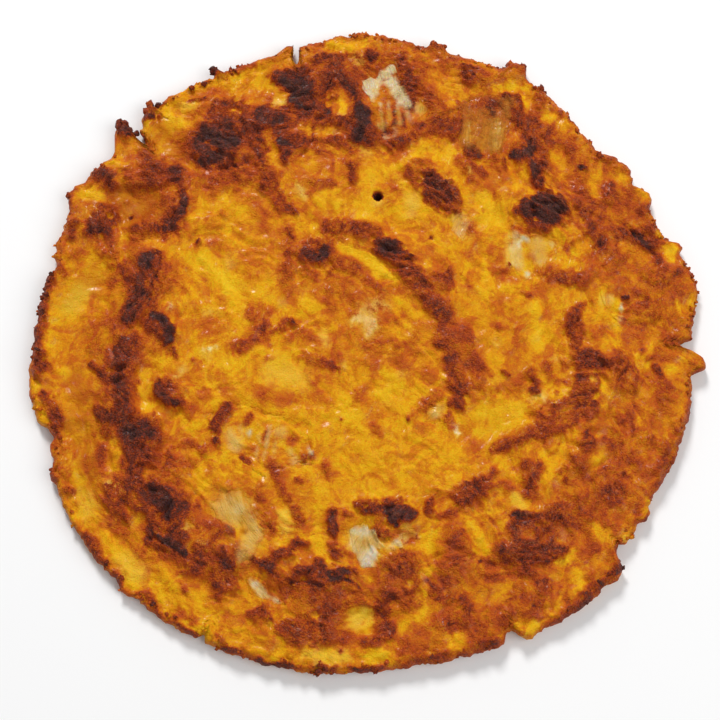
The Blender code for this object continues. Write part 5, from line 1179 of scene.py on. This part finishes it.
leaves = {  # outline as in the solid, which way its ribs run, where it shows through and how cooked it is
    "cabbage_leaf_top": {
        "outline": ((-2, 106), (-1, 100), (3, 94), (3, 86), (6, 79), (12, 81), (20, 88), (25, 94), (18, 99),
            (13, 105), (11, 114), (7, 113), (3, 109)),
        "bottom": 2.6, "cooked": 0.09, "ribs": 92, "bend": -0.012,
        "shows": ((1, 1.2, (1.2, 105.4, 3.8), (0.8, 101, 3.4)),
            (1, 1.2, (4.5, 107, 2.6), (7.5, 109, 2.4), (10, 112.4, 2.6)),
            (1, 1.2, (9.4, 106, 2.4), (13, 99.8, 2.8), (15.6, 96, 1.8)),
            (0.8, 1.2, (21, 94, 1.8), (24, 93, 1.6)),
            (0.8, 0.9, (5.4, 96, 0.8), (5.8, 90, 1), (7.4, 82, 0.8)),
            (0.75, 0.9, (8.6, 97, 0.7), (8.8, 90, 0.9)), (0.7, 0.9, (12, 95, 0.9), (13.2, 88, 0.9)),
            (0.6, 0.9, (3.6, 91, 0.7), (5.2, 85, 0.7)), (0.5, 1, (16, 92, 1), (17, 88, 0.8)),
            (0.4, 0.9, (10.6, 86, 0.7), (11, 81, 0.7))),
        "stains": ((0.44, 1, (7.6, 102, 1.3), (7.2, 98, 1.2)), (0.3, 2, (22, 94, 3)),
            (0.32, 2, (7, 90, 5), (12, 90, 4)), (0.12, 1, (12, 101, 1), (14, 97, 1)),
            (0.14, 1, (2.5, 104, 0.8), (2.5, 100, 0.8))),
        "burns": ((0.7, 0.7, (10.6, 96, 0.6), (11, 88, 0.7)), (0.66, 0.7, (7.2, 95, 0.5), (7, 87, 0.6)),
            (0.66, 0.9, (14.6, 92, 0.8), (14.8, 86, 0.8))),
    },
    "cabbage_curled": {
        "outline": ((38, 97), (49, 99), (60, 98), (57, 89), (53, 74), (44, 73), (36, 77), (38, 87)),
        "bottom": 3.0, "cooked": 0.46, "ribs": 80, "bend": 0.01, "everywhere": 0.5,
        "shows": ((0.9, 3, (50, 87, 3.6), (50, 79, 3)), (0.75, 1, (40.6, 88, 0.9), (40, 79, 1)),
            (0.7, 1.2, (56.5, 96.5, 1.4), (57.5, 92, 1.6)), (0, 2, (42, 97, 2.4), (51, 96, 2.4)),
            (0.1, 1.4, (42, 75.5, 2.2)), (0.1, 1, (50, 91.5, 1.4))),
        # among these burns, the dark line at x 37.5 in the gap beside the leaf and the dark rust along its
        # right edge at x 58.5 to 61 are painted shade
        "burns": ((0.56, 2, (38, 95, 2.4), (50, 97.5, 2.4)), (0.74, 1.2, (49, 94, 1.6), (51, 97.5, 1.2)),
            (0.88, 1, (50, 91.6, 1.4)), (0.76, 1.5, (42, 76.5, 2.6)),
            (0.76, 0.8, (37.8, 91, 0.6), (37.4, 84, 0.6)), (0.72, 0.7, (57, 99, 0.6), (60.6, 97, 0.6)),
            (0.66, 1, (61, 94, 0.8), (58.5, 87, 0.8))),
        "stains": ((0.34, 1.6, (53, 88, 1.4), (51.5, 79, 1.6)), (0.46, 1.6, (46, 84, 1.2), (47, 77, 1.2)),
            (0.3, 1, (40.4, 87, 0.8), (40, 81, 0.8))),
    },
    "cabbage_white": {
        "outline": ((-7, -76), (-2, -73), (3, -76), (5, -83), (3, -89), (-3, -90), (-5, -83)),
        "bottom": 2.6, "cooked": 0.17, "ribs": 60,
        "shows": ((1, 1.2, (-5.6, -76, 2.8), (-1, -76, 3.2), (1.5, -80, 4)),
            (1, 1.2, (-3, -80.5, 4.4), (0.5, -84.5, 4)), (0.95, 1.2, (0, -86, 3.2), (-1.2, -89, 2.4)),
            (0.7, 1.5, (-7, -79, 2))),
        "stains": ((0.27, 2, (-5, -80, 2), (2, -80.2, 1.4)),
            (0.1, 1.2, (-4.5, -75.5, 1.6), (0, -75.6, 1.6)), (0, 1.4, (1.6, -83.6, 2.2), (-0.8, -87, 1.6))),
    },
    "cabbage_strip": {
        "outline": ((6, -80), (12, -77), (20, -75), (19, -79), (12, -82)),
        "bottom": 2.0, "cooked": 0.14, "ribs": 15,
        "shows": ((0.9, 1, (8.2, -81.2, 1.2), (11.2, -80.4, 1.4)),
            (0.6, 1.5, (14, -78, 1.6), (18, -76.5, 1.5))),
        "stains": ((0.42, 1.5, (16, -76.8, 2.2)), (0.26, 1, (13.5, -79, 1.2))),
    },
    "cabbage_pale_left": {
        "outline": ((-58, -67), (-55, -61), (-47, -61), (-43, -69), (-39, -78), (-43, -86), (-48, -89),
            (-51, -83), (-53, -75)),
        "bottom": 2.6, "cooked": 0.25, "ribs": 125, "bend": 0.01,
        "shows": ((0.72, 3.5, (-51, -66, 4.4), (-48.5, -70, 3.8)), (0.4, 2.5, (-56, -66, 2.4)),
            (0.6, 2.5, (-46, -68, 2.2), (-42.6, -73, 2.6), (-41.4, -77.6, 1.8)),
            (0.62, 2.5, (-43.5, -78, 2.2), (-45.2, -82, 2.4), (-47, -86, 2)),
            (0.4, 1.5, (-52.5, -79.5, 2))),
        "stains": ((0.15, 1.5, (-48.5, -67, 2.4)), (0.34, 1.2, (-47, -70.5, 1), (-46.5, -75, 1)),
            (0.3, 1.6, (-46, -84, 1.6)), (0.44, 1.6, (-52.5, -79.5, 2.2))),
    },
    "cabbage_ribbed": {
        "outline": ((-61, -33), (-54, -27), (-42, -29), (-30, -34), (-21, -43), (-21, -51), (-31, -51),
            (-39, -56), (-46, -50), (-57, -42)),
        "bottom": 2.8, "cooked": 0.22, "ribs": 76, "bend": 0.008,
        "shows": ((0.5, 2, (-52, -39, 1.6), (-50.5, -43.5, 2.6)), (1, 0.9, (-45.2, -38.5, 1.1)),
            (0.5, 1.4, (-48.5, -36, 1.1), (-47.5, -40, 1)),
            (0.55, 0.8, (-37.2, -35.5, 0.6), (-39.4, -48, 0.6)),
            (0.5, 0.8, (-41.4, -40, 0.5), (-42.4, -48, 0.5)), (0.45, 1.6, (-33, -38, 2)),
            (0.9, 0.9, (-22.2, -43, 0.9), (-20.8, -46, 0.8)),
            (0.55, 1.2, (-29, -45.5, 1.2), (-27, -49.5, 1.5)), (0.4, 1, (-35, -42, 0.6), (-36, -47, 0.6)),
            (0.6, 1, (-24, -50.5, 0.9))),
        "stains": ((0.05, 1, (-45.2, -38.5, 1.1)), (0.08, 0.9, (-22.2, -43, 0.9), (-20.8, -46, 0.8))),
        "burns": ((0.7, 1.2, (-54.4, -28.6, 1.2), (-57, -31.5, 1.4)),
            (0.72, 1, (-57.8, -34.2, 1.4), (-57.4, -37.4, 1.2)), (0.7, 0.8, (-58, -42, 1.1)),
            (0.68, 1, (-44.4, -31.2, 1.3), (-46, -34.4, 1.2)),
            (0.74, 1.2, (-47.8, -47.6, 1.3), (-45.4, -49, 1.6)),
            (0.62, 1, (-38.6, -38, 1), (-39.6, -40.6, 0.9)), (0.6, 1.8, (-28.4, -40.6, 2.4)),
            (0.62, 1.4, (-23.4, -48.4, 1.6)), (0.48, 1.4, (-43.4, -43.6, 1.1)), (0.56, 1.4, (-34, -52, 2)),
            (0.5, 1, (-36.8, -44, 0.7))),
    },
    "cabbage_pale_right": {
        "outline": ((55, 44), (59, 46), (64, 41), (75, 38), (73, 31), (67, 26), (61, 22), (56, 28)),
        "bottom": 2.6, "cooked": 0.16, "ribs": 70,
        "shows": ((1, 0.9, (61.6, 39.6, 0.9), (62.6, 38.8, 1)), (0.75, 1, (59.2, 36.8, 1.3)),
            (0.6, 1, (57, 44.6, 0.8)), (0.55, 1.5, (58, 41, 1.4), (58.4, 28, 1.8)),
            (0.95, 1, (62.9, 24.8, 1.2)), (0.7, 1.2, (72.6, 36.8, 1.1)),
            (0.35, 2, (67, 37, 2.6), (68, 31, 2.4))),
        "stains": ((0, 1, (61.8, 39.6, 1.2)), (0.05, 1, (59.2, 36.8, 1.2)), (0.04, 1, (62.9, 24.8, 1.2)),
            (0.2, 2, (68, 35, 4))),
    },
    "cabbage_by_oval": {
        "outline": ((33, 49), (38, 50), (40, 44), (37, 38), (33, 42)),
        "bottom": 2.2, "cooked": 0.20, "ribs": 75,
        "shows": ((0.4, 3, (35.4, 47, 2.8), (36, 42, 2.8)),),
        "stains": ((0.16, 1.5, (36, 44, 1.5)),),
    },
    "cabbage_middle": {
        "outline": ((21, -34), (24, -28), (31, -26), (32, -31), (26, -36)),
        "bottom": 2.2, "cooked": 0.26, "ribs": 40,
        "shows": ((0.6, 1.6, (25, -31.4, 1.8), (28.6, -28.6, 1.4)),),
        "stains": ((0.18, 1.2, (25.4, -32, 1.2)),),
    },
    "cabbage_low_left": {
        "outline": ((-46, -94), (-41, -93), (-35, -98), (-31, -103), (-37, -102), (-43, -99)),
        "bottom": 2.2, "cooked": 0.16, "ribs": 140,
        "shows": ((0.85, 1, (-43, -94.6, 1.1), (-39, -99, 1.4), (-33.4, -102, 0.9)),),
        "stains": ((0.08, 1, (-42, -95.4, 0.8)), (0.1, 0.8, (-34, -101.6, 0.8))),
    },
    "cabbage_right_edge": {
        "outline": ((90, 18), (96, 18), (101, 12), (101, 4), (97, 4), (92, 11)),
        "bottom": 2.2, "cooked": 0.20, "ribs": 100,
        "shows": ((0.9, 0.8, (99, 12.6, 0.7), (98.5, 9.6, 0.7)), (0.4, 1.5, (93.5, 14.5, 2)),
            (0.4, 1.2, (97.5, 6.5, 1.4))),
        "stains": ((0.06, 0.8, (98.8, 12, 1)),),
    },
}
bed = {
    "deep": 1.2,
    "deepEdge": (-0.4, 1.2),
    "sunk": 0.25,
    "spare": 2.0,
    "ragged": 0.7,
    "outward": 0.4,
    "thinnest": 0.2,
    "ribSpacing": 1.9,
    "ribLength": 9,
    "ribHeight": 0.32,
    "ribTone": 0.06,
    "ribShows": 0.3,
    "edgeDrop": 1.5,
    "edgeDropAt": 0.3,
    "showEdge": (-0.6, 1.6),
    "paintRagged": 0.5,
    "burnRagged": 0.4,
}


def leafReach(x, y, leaf, ragged):
    return insideOutline(x, y, leaf["outline"]) + ragged * bed["ragged"] + bed["outward"]


def sinkBeds(x, y, height, ragged):
    # the batter lies lower where a leaf shows
    for leaf in leaves.values():
        height = height - bed["deep"] * smooth(*bed["deepEdge"], leafReach(x, y, leaf, ragged))
    return height


def roundReach(outline, angle):
    # how far the outline lies from its middle, all round
    middle = np.mean(outline, axis=0)
    points = np.array(outline) - middle
    far = np.zeros(len(angle))
    turn = np.radians(angle)
    for start, end in zip(points, np.roll(points, -1, axis=0)):
        along = end - start
        across = np.cos(turn) * along[1] - np.sin(turn) * along[0]
        across = np.where(np.abs(across) < almostNothing, almostNothing, across)
        out = (start[0] * along[1] - start[1] * along[0]) / across
        place = (start[0] * np.sin(turn) - start[1] * np.cos(turn)) / across
        hit = (out > 0) & (np.abs(place - 0.5) <= 0.501)  # a little past both ends, so that corners count
        far = np.where(hit, np.maximum(far, out), far)
    return middle, far


def makeLeaf(node, leaf, paint):
    piece = addBall(node.replace("cabbage", "leaf"), 5)
    ball, out, turn, below = ballPlaces(piece)
    middle, far = roundReach(leaf["outline"], turn)
    x = middle[0] + out * (far + bed["spare"]) * np.cos(np.radians(turn))
    y = middle[1] + out * (far + bed["spare"]) * np.sin(np.radians(turn))
    skins = skinNoise(x, y)
    face, looks = surfaceOf(x, y, shareOf(x, y), skins)
    ragged = skins["ragged"]
    turnRibs = np.radians(leaf["ribs"])
    fromMiddleX, fromMiddleY = x - middle[0], y - middle[1]
    along = fromMiddleX * np.cos(turnRibs) + fromMiddleY * np.sin(turnRibs)
    across = -fromMiddleX * np.sin(turnRibs) + fromMiddleY * np.cos(turnRibs) + leaf.get("bend", 0) * along**2
    reach = leafReach(x, y, leaf, ragged)
    wave = layered(across / bed["ribSpacing"], along / bed["ribLength"], 1, 40, 2)
    top = face - bed["sunk"] + bed["ribHeight"] * wave + rough(x, y, "leafSwell")
    top = top - bed["edgeDrop"] * smooth(bed["edgeDropAt"], -bed["spare"], reach)
    z = np.where(below, leaf["bottom"], np.maximum(top, leaf["bottom"] + bed["thinnest"]))
    writePoints(piece, np.stack([x, y, z], axis=1) * mm)
    seenX, seenY = paintedPlace(x, y, face)
    torn = ragged * bed["paintRagged"]
    cooked = painted(seenX, seenY, leaf["cooked"] + bed["ribTone"] * wave, leaf["stains"], torn)
    everywhere = leaf.get("everywhere", 0)
    shows = painted(seenX, seenY, everywhere, leaf["shows"], torn + bed["ribShows"] * wave)
    shows = shows * smooth(*bed["showEdge"], reach)
    burns = leaf.get("burns", ())
    looks["toast"] = painted(seenX, seenY, looks["toast"], burns, ragged * bed["burnRagged"])
    looks.update({"cooked": cooked, "shows": shows, "along": along * mm, "across": across * mm})
    writeLooks(piece, looks)
    piece.data.shade_smooth()
    piece.data.materials.append(paint)
    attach(piece, "root")
    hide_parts(node)


def writePoints(piece, points):
    piece.data.vertices.foreach_set("co", points.ravel())
    piece.data.update()


def writeLooks(piece, looks):
    for name, values in looks.items():
        layer = piece.data.attributes.new(name, "FLOAT", "POINT")
        layer.data.foreach_set("value", np.asarray(values, np.float32))


def addBall(name, divisions):
    bpy.ops.object.select_all(action="DESELECT")
    bpy.ops.mesh.primitive_ico_sphere_add(subdivisions=divisions, radius=1)
    piece = bpy.context.object
    piece.name = name
    return piece


def ballPlaces(piece):
    # points of the ball, how far out and at what angle each goes, and which are of the underside
    ball = np.zeros(len(piece.data.vertices) * 3)
    piece.data.vertices.foreach_get("co", ball)
    ball = ball.reshape(-1, 3)
    ball /= np.linalg.norm(ball, axis=1)[:, None]
    out = np.sqrt(np.maximum(1 - np.abs(ball[:, 2]), 0))  # even areas from the middle to the rim
    turn = np.degrees(np.arctan2(ball[:, 1], ball[:, 0]))
    return ball, out, turn, ball[:, 2] < -0.0001


def divideFaces(piece, lowest, cuts):
    # cuts the faces whose middles are above a height of the ball
    bpy.ops.object.mode_set(mode="EDIT")
    bpy.ops.mesh.select_all(action="DESELECT")
    bpy.ops.mesh.select_mode(type="FACE")
    bpy.ops.object.mode_set(mode="OBJECT")
    for face in piece.data.polygons:
        face.select = face.center.z > lowest
    bpy.ops.object.mode_set(mode="EDIT")
    bpy.ops.mesh.subdivide(number_cuts=cuts)
    bpy.ops.mesh.select_all(action="SELECT")
    bpy.ops.mesh.quads_convert_to_tris()
    bpy.ops.object.mode_set(mode="OBJECT")


def makeBatter(paint):
    piece = addBall("fried_batter", 5)
    divideFaces(piece, disc["fineAbove"], disc["fineCuts"])
    ball, out, turn, below = ballPlaces(piece)
    edge = disc["ballEdge"]
    past = np.clip((out - edge) / (1 - edge), 0, 1)
    share = np.where(out < edge, out / edge * disc["edgeStart"],
                     mix(disc["edgeStart"], 1, np.sin(past * np.pi / 2)))
    x, y = discPoints(share, turn)
    skins = skinNoise(x, y)
    top, looks = surfaceOf(x, y, share, skins)
    top = sinkBeds(x, y, top, skins["ragged"])
    lifted = disc["edgeLift"] * smooth(disc["flatUnderside"], disc["edgeStart"], share)
    z = np.where(below, overEdge(lifted, share), top)
    writePoints(piece, np.stack([x, y, z], axis=1) * mm)
    looks["under"] = np.where(below, 1.0, 0.0)
    looks["crisp"] = smooth(*disc["crispEdge"], share)
    writeLooks(piece, looks)
    piece.data.shade_smooth()
    piece.data.materials.append(paint)
    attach(piece, "root")
    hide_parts("batter")
    print("batter:", len(piece.data.polygons), "faces")


crumbs = {
    "count": 340,
    "size": (0.25, 0.85),
    "inward": (-0.1, 3.4),
    "browner": (0.0, 0.28),
    "ragged": 0.45,
    "raggedTone": 0.12,
    "raised": (-0.3, 0.3),
    "stretch": (0.7, 1.5),
    "knobShare": 0.8,
    "knobRaised": 0.5,
    "lowest": 0.6,
    "furthest": 0.998,  # share of the radius, for a crumb's height
    "seed": 8,
}
rimKnobs = (  # x, y, size, toast
    (-62, 111, 1.8, 0.9), (-70.5, 102.8, 1.3, 0.7), (-65.5, 104.8, 1.2, 0.8), (-87.5, 96.5, 1.5, 0.66),
    (-88, 93.5, 1.7, 0.6), (-99, 86.5, 2.4, 0.8), (-95.5, 84.5, 2.4, 0.9), (-97, 87.5, 1.8, 0.74),
    (-92.5, 83.5, 1.4, 0.86), (-84, 95.5, 1.5, 0.85), (58, 113, 1.8, 0.55), (63, 112.6, 1.8, 0.7),
    (27, 122, 2.2, 0.6), (31, 121.4, 1.6, 0.66), (-18, -127.5, 1.8, 0.72), (-15.5, -126.6, 1.3, 0.8),
    (70, 102.5, 1.5, 0.7), (-118, 57.5, 1.6, 0.66), (92, 73.5, 1.3, 0.7), (-31.5, 120.6, 1.2, 0.8),
    (3, -127, 1.2, 0.66),
)


def crumbSpots(draw):
    # x, y, size, toast where it is given, and how far it is raised
    share, raised = crumbs["knobShare"], crumbs["knobRaised"]
    spots = [(x, y, size * share, level, raised) for x, y, size, level in rimKnobs]
    for _ in range(crumbs["count"]):
        edgeX, edgeY = discPoints(np.ones(1), np.array([draw.uniform(0, 360)]))
        inward = 1 - draw.uniform(*crumbs["inward"]) / float(np.hypot(edgeX, edgeY)[0])
        size, raised = draw.uniform(*crumbs["size"]), draw.uniform(*crumbs["raised"])
        spots.append((float(edgeX[0]) * inward, float(edgeY[0]) * inward, size, None, raised))
    return spots


def makeCrumbs(paint):
    # fried crumbs and knobs along the rim, in one mesh
    piece = addBall("rim_crumbs", 2)
    ball = ballPlaces(piece)[0]
    corners = np.array([face.vertices[:] for face in piece.data.polygons])
    draw = np.random.default_rng(crumbs["seed"])
    spots = crumbSpots(draw)
    x, y = (np.array([spot[axis] for spot in spots]) for axis in (0, 1))
    height, looks = surfaceOf(x, y, np.clip(shareOf(x, y), 0, crumbs["furthest"]), skinNoise(x, y))
    points, faces, toast = [], [], []
    for index, (x, y, size, level, raised) in enumerate(spots):
        stretch = draw.uniform(*crumbs["stretch"], 3)
        bumpy = draw.uniform(-1, 1, len(ball))
        angle = draw.uniform(0, 2 * np.pi)
        shape = ball * stretch * (1 + crumbs["ragged"] * bumpy[:, None]) * size
        spun = np.stack([shape[:, 0] * np.cos(angle) - shape[:, 1] * np.sin(angle),
                         shape[:, 0] * np.sin(angle) + shape[:, 1] * np.cos(angle), shape[:, 2]], axis=1)
        if level is None:
            level = looks["toast"][index] + draw.uniform(*crumbs["browner"])
        faces.append(corners + len(points) * len(ball))
        points.append(spun + np.array([x, y, height[index] + raised * size]))
        toast.append(level + crumbs["raggedTone"] * bumpy)
    points, faces, toast = np.concatenate(points), np.concatenate(faces), np.concatenate(toast)
    points[:, 2] = np.maximum(points[:, 2], crumbs["lowest"])
    piece.data.clear_geometry()
    piece.data.from_pydata((points * mm).tolist(), [], faces.tolist())
    still = np.zeros(len(points))
    plain = {name: still for name in ("pale", "rosy", "wet", "turned", "under", "crisp")}
    writeLooks(piece, {"toast": toast, **plain, "strandX": points[:, 0] * mm, "strandY": points[:, 1] * mm})
    piece.data.shade_smooth()
    piece.data.materials.append(paint)
    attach(piece, "root")
    print("crumbs:", len(spots))


toastColours = (  # share of browning, linear colour
    (0.00, (0.80, 0.50, 0.016)),
    (0.14, (0.76, 0.41, 0.007)),
    (0.24, (0.72, 0.320, 0.006)),
    (0.34, (0.64, 0.225, 0.006)),
    (0.46, (0.55, 0.136, 0.008)),
    (0.58, (0.48, 0.084, 0.012)),
    (0.68, (0.37, 0.056, 0.015)),
    (0.78, (0.25, 0.044, 0.020)),
    # the charred stops are the crust's own dark colour greyed towards mauve, a painted sheen for the glints
    # on the char
    (0.88, (0.150, 0.037, 0.026)),
    (1.00, (0.088, 0.036, 0.032)),
)
leafColours = (  # how cooked, linear colour
    (0.00, (0.68, 0.60, 0.45)),
    (0.10, (0.69, 0.55, 0.29)),
    (0.20, (0.69, 0.47, 0.155)),
    (0.32, (0.60, 0.33, 0.05)),
    (0.45, (0.43, 0.17, 0.018)),
    (0.60, (0.33, 0.08, 0.012)),
    (0.80, (0.15, 0.03, 0.008)),
)
cream = ((0.78, 0.50, 0.07, 1), (0.84, 0.64, 0.31, 1))
# rosy-tan: the colour of the rosy patches and of the painted glints
rosyBrown = (0.48, 0.15, 0.06, 1)
# painted shade: the darker olive that the wet pools in the hollows are multiplied by
wetTint = (0.66, 0.50, 0.30, 1)


noises = {  # spacing, detail, roughness, warp
    "strands": (3.6, 2, 0.5, 0.8),
    "mottle": (6.0, 2, 0.5, 1.2),
    "curd": (2.4, 2, 0.5, 1.0),
    "speck": (1.1, 2, 0.5, 0.5),
    "dust": (0.55, 1, 0.5),
    "knobs": (2.1, 1, 0.5, 1.0),
    "grit": (1.3, 2, 0.5, 0.6),
    "lace": (8.5, 4, 0.62, 1.2),
    "underside": (22, 5, 0.6, 0.6),
    "fibre": (1.4, 3, 0.6),
    "oil": (5.0, 3, 0.6),
}
creaseWidths = {"wrinkles": 0.13, "knobs": 0.13, "grit": 0.16}
finish = {  # level, then weights in the browning and in the bump, both for soft and for crusty places
    "strands": (0.0, (0.07, 0.04), (0.154, 0.70)),
    "mottle": (0.0, (0.10, 0.06), (0.176, 0.80)),
    "curd": (0.0, (0.08, 0.08), (0.154, 0.70)),
    "speck": (0.0, (0.14, 0.22), (0.198, 0.90)),
    "dust": (0.0, (0.18, 0.34), (0.198, 0.90)),
    # painted shade and light: for wrinkles, knobs and grit the browning weights darken the creases and
    # lighten the tops
    "wrinkles": (0.7, (0.0, -0.03), (0.04, 0.16)),
    "knobs": (0.7, (-0.02, -0.10), (0.02, 0.23)),
    "grit": (0.6, (-0.02, -0.10), (0.02, 0.19)),
}
fried = {
    "strandShare": 0.75,  # below 1 draws the noise out along a strand
    "fibreShare": 0.21,
    "edgeBrown": 0.22,
    "underBrown": 0.46,
    "underUneven": 1.1,
    "crust": (0.38, 0.72),
    "calm": 0.4,
    "laceEdge": (-0.09, 0.12),
    "laceLevel": 0.45,
    "laceBrown": 0.17,
    # painted highlights: the width of the thin lighter lines along the crust's ridges, how much lighter they
    # are, and their rise in the bump
    "crestWidth": 0.06,
    "crestHighlight": 0.24,
    "crestRise": 0.12,
    "wetCalm": 0.6,
    # how strong the painted rosy-tan glints are on the crust
    "crustGlint": 0.12,
    "rosy": 0.45,
    # how strong the painted shade of the wet pools is
    "wetTint": 0.55,
    "matt": 0.50,
    "wetGloss": 0.10,
    "coat": 0.03,
    "oilCoat": (0.30, 0.10),
    "wetCoat": 0.12,
    "bump": 0.0013,
}
gloss = {
    "IOR": 1.42,
    "Specular IOR Level": 0.12,
    "Specular Tint": (1.0, 0.75, 0.5, 1),
    "Coat Roughness": 0.19,
    "Subsurface Weight": 0.35,
    "Subsurface Radius": (1.0, 0.35, 0.08),
    "Subsurface Scale": 0.002,
}


def makeTextures(wire, place, turned, strandX, strandY):
    # noises about 0; and 0 in the creases and 1 on the tops for wrinkles, knobs and grit
    def strandsOf(across, along):
        stretched = wire.node("ShaderNodeCombineXYZ", {}, {"X": across, "Y": along * fried["strandShare"]})
        return wire.grain(stretched, *noises["strands"])

    upright, slanting = strandsOf(strandX, strandY), strandsOf(*slant(strandX, strandY))
    strands = wire.node("ShaderNodeMix", {"data_type": "FLOAT"}, {0: turned, 2: upright, 3: slanting})
    names = ("mottle", "curd", "speck", "dust", "knobs", "grit")
    textures = {name: wire.grain(place, *noises[name]) for name in names}
    textures["strands"] = textures["wrinkles"] = strands
    for name, width in creaseWidths.items():
        textures[name] = abs(textures[name]).between(0.0, width)
    return textures


def friedLook(wire, shader, leafy):
    # colour, gloss and bump of the browned face; leafy adds the cabbage that shows through it
    def look(name):
        return wire.node("ShaderNodeAttribute", {"attribute_name": name}, output="Fac")

    place = wire.node("ShaderNodeTexCoord", output="Object")
    toast, pale, rosy, wet = look("toast"), look("pale"), look("rosy"), look("wet")
    textures = makeTextures(wire, place, look("turned"), look("strandX"), look("strandY"))
    strands, mottle, curd, speck = (textures[name] for name in ("strands", "mottle", "curd", "speck"))
    if not leafy:
        toast = toast + look("crisp") * fried["edgeBrown"] * (1 - toast)
        below = fried["underBrown"] + wire.grain(place, *noises["underside"]) * fried["underUneven"]
        toast = wire.node("ShaderNodeMix", {"data_type": "FLOAT"}, {0: look("under"), 2: toast, 3: below})
    crust = toast.between(*fried["crust"])
    calm = (1 - toast.between(0.7, 1.0) * fried["calm"]) * (1 - wet * fried["wetCalm"])
    # painted highlights: thin lighter lines along the tops of the crust's ridges
    crests = (1 - abs(strands + curd * 0.4).between(0.0, fried["crestWidth"])) * crust
    crests = crests * speck.between(-0.05, 0.12)
    lace = wire.grain(place, *noises["lace"]).between(*fried["laceEdge"]) - fried["laceLevel"]
    lace = lace * toast.between(0.12, 0.26) * (1 - toast.between(0.6, 0.8))
    brown = lace * fried["laceBrown"] - crests * fried["crestHighlight"]
    height = crests * fried["crestRise"]
    # for wrinkles, knobs and grit this browning is painted shade in the creases and painted light on the tops
    for name, (level, browning, rising) in finish.items():
        brown = brown + (textures[name] - level) * mix(*browning, crust)
        height = height + textures[name] * mix(*rising, crust)
    # brown holds the browning together with the painted shade and highlights of creases, tops and crests
    brown = toast + brown * calm
    colour = wire.node("ShaderNodeValToRGB", {"stops": toastColours}, {"Fac": brown})
    # the pale paint is mostly cabbage under thin batter, and in a few spots painted glints
    paleShare = pale * (1 + mottle * 1.2 + strands * 1.5) * (1 - brown.between(0.40, 0.65))
    colour = wire.blend(paleShare.clamped(), colour, wire.blend(pale.between(0.4, 1.0), *cream))
    # painted highlights: rosy-tan glints on the tops of wrinkles and knobs over the crust; the rosy patches,
    # the crust's own colour, also show only on these tops
    glow = (textures["wrinkles"] * textures["knobs"] + speck * 1.5).between(0.35, 1.1)
    rosyShare = crust * fried["crustGlint"] + rosy * fried["rosy"] * brown.between(0.35, 0.7)
    colour = wire.blend((rosyShare * glow).clamped(), colour, rosyBrown)
    # painted shade: darkens the wet pools in the hollows towards olive
    colour = wire.blend((wet * fried["wetTint"]).clamped(), colour, wetTint, "MULTIPLY")
    matt = fried["matt"] + speck * 0.5 + mottle * 0.3 - wet * fried["wetGloss"]
    if leafy:
        along = look("along") * fried["fibreShare"]
        lengthways = wire.node("ShaderNodeCombineXYZ", {}, {"X": look("across") * 2.0, "Y": along})
        fibre = wire.grain(lengthways, *noises["fibre"])
        cooked = look("cooked") + fibre * 0.26 + mottle * 0.22 + speck * 0.14
        leafColour = wire.node("ShaderNodeValToRGB", {"stops": leafColours}, {"Fac": cooked})
        shows = (look("shows") * (1 + fibre * 1.4 + curd * 1.2 + speck)).clamped()
        colour = wire.blend(shows, colour, leafColour)
        height = height * (1 - shows * 0.6) + fibre * 0.9 * shows
    oil = wire.grain(place, *noises["oil"]).between(0.0, 0.2)
    coat = fried["coat"] + oil * mix(*fried["oilCoat"], crust) + wet * fried["wetCoat"]
    bump = wire.node("ShaderNodeBump", {}, {"Strength": 1.0, "Distance": fried["bump"], "Height": height})
    wire.plug(shader.inputs["Base Color"], colour)
    wire.plug(shader.inputs["Roughness"], matt.clamped())
    wire.plug(shader.inputs["Coat Weight"], coat.clamped())
    wire.plug(shader.inputs["Normal"], bump)
    for name, value in gloss.items():
        shader.inputs[name].default_value = value


def friedMaterial(name, leafy):
    material = bpy.data.materials.new(name)
    material.use_nodes = True
    tree = material.node_tree
    friedLook(Wire(tree), tree.nodes["Principled BSDF"], leafy)
    return material


makeStudio()
batterPaint = friedMaterial("friedBatter", False)
makeBatter(batterPaint)
makeCrumbs(batterPaint)
leafPaint = friedMaterial("pickledCabbage", True)
for nodeName, leafForm in leaves.items():
    makeLeaf(nodeName, leafForm, leafPaint)
print("cabbage:", len(leaves), "pieces")
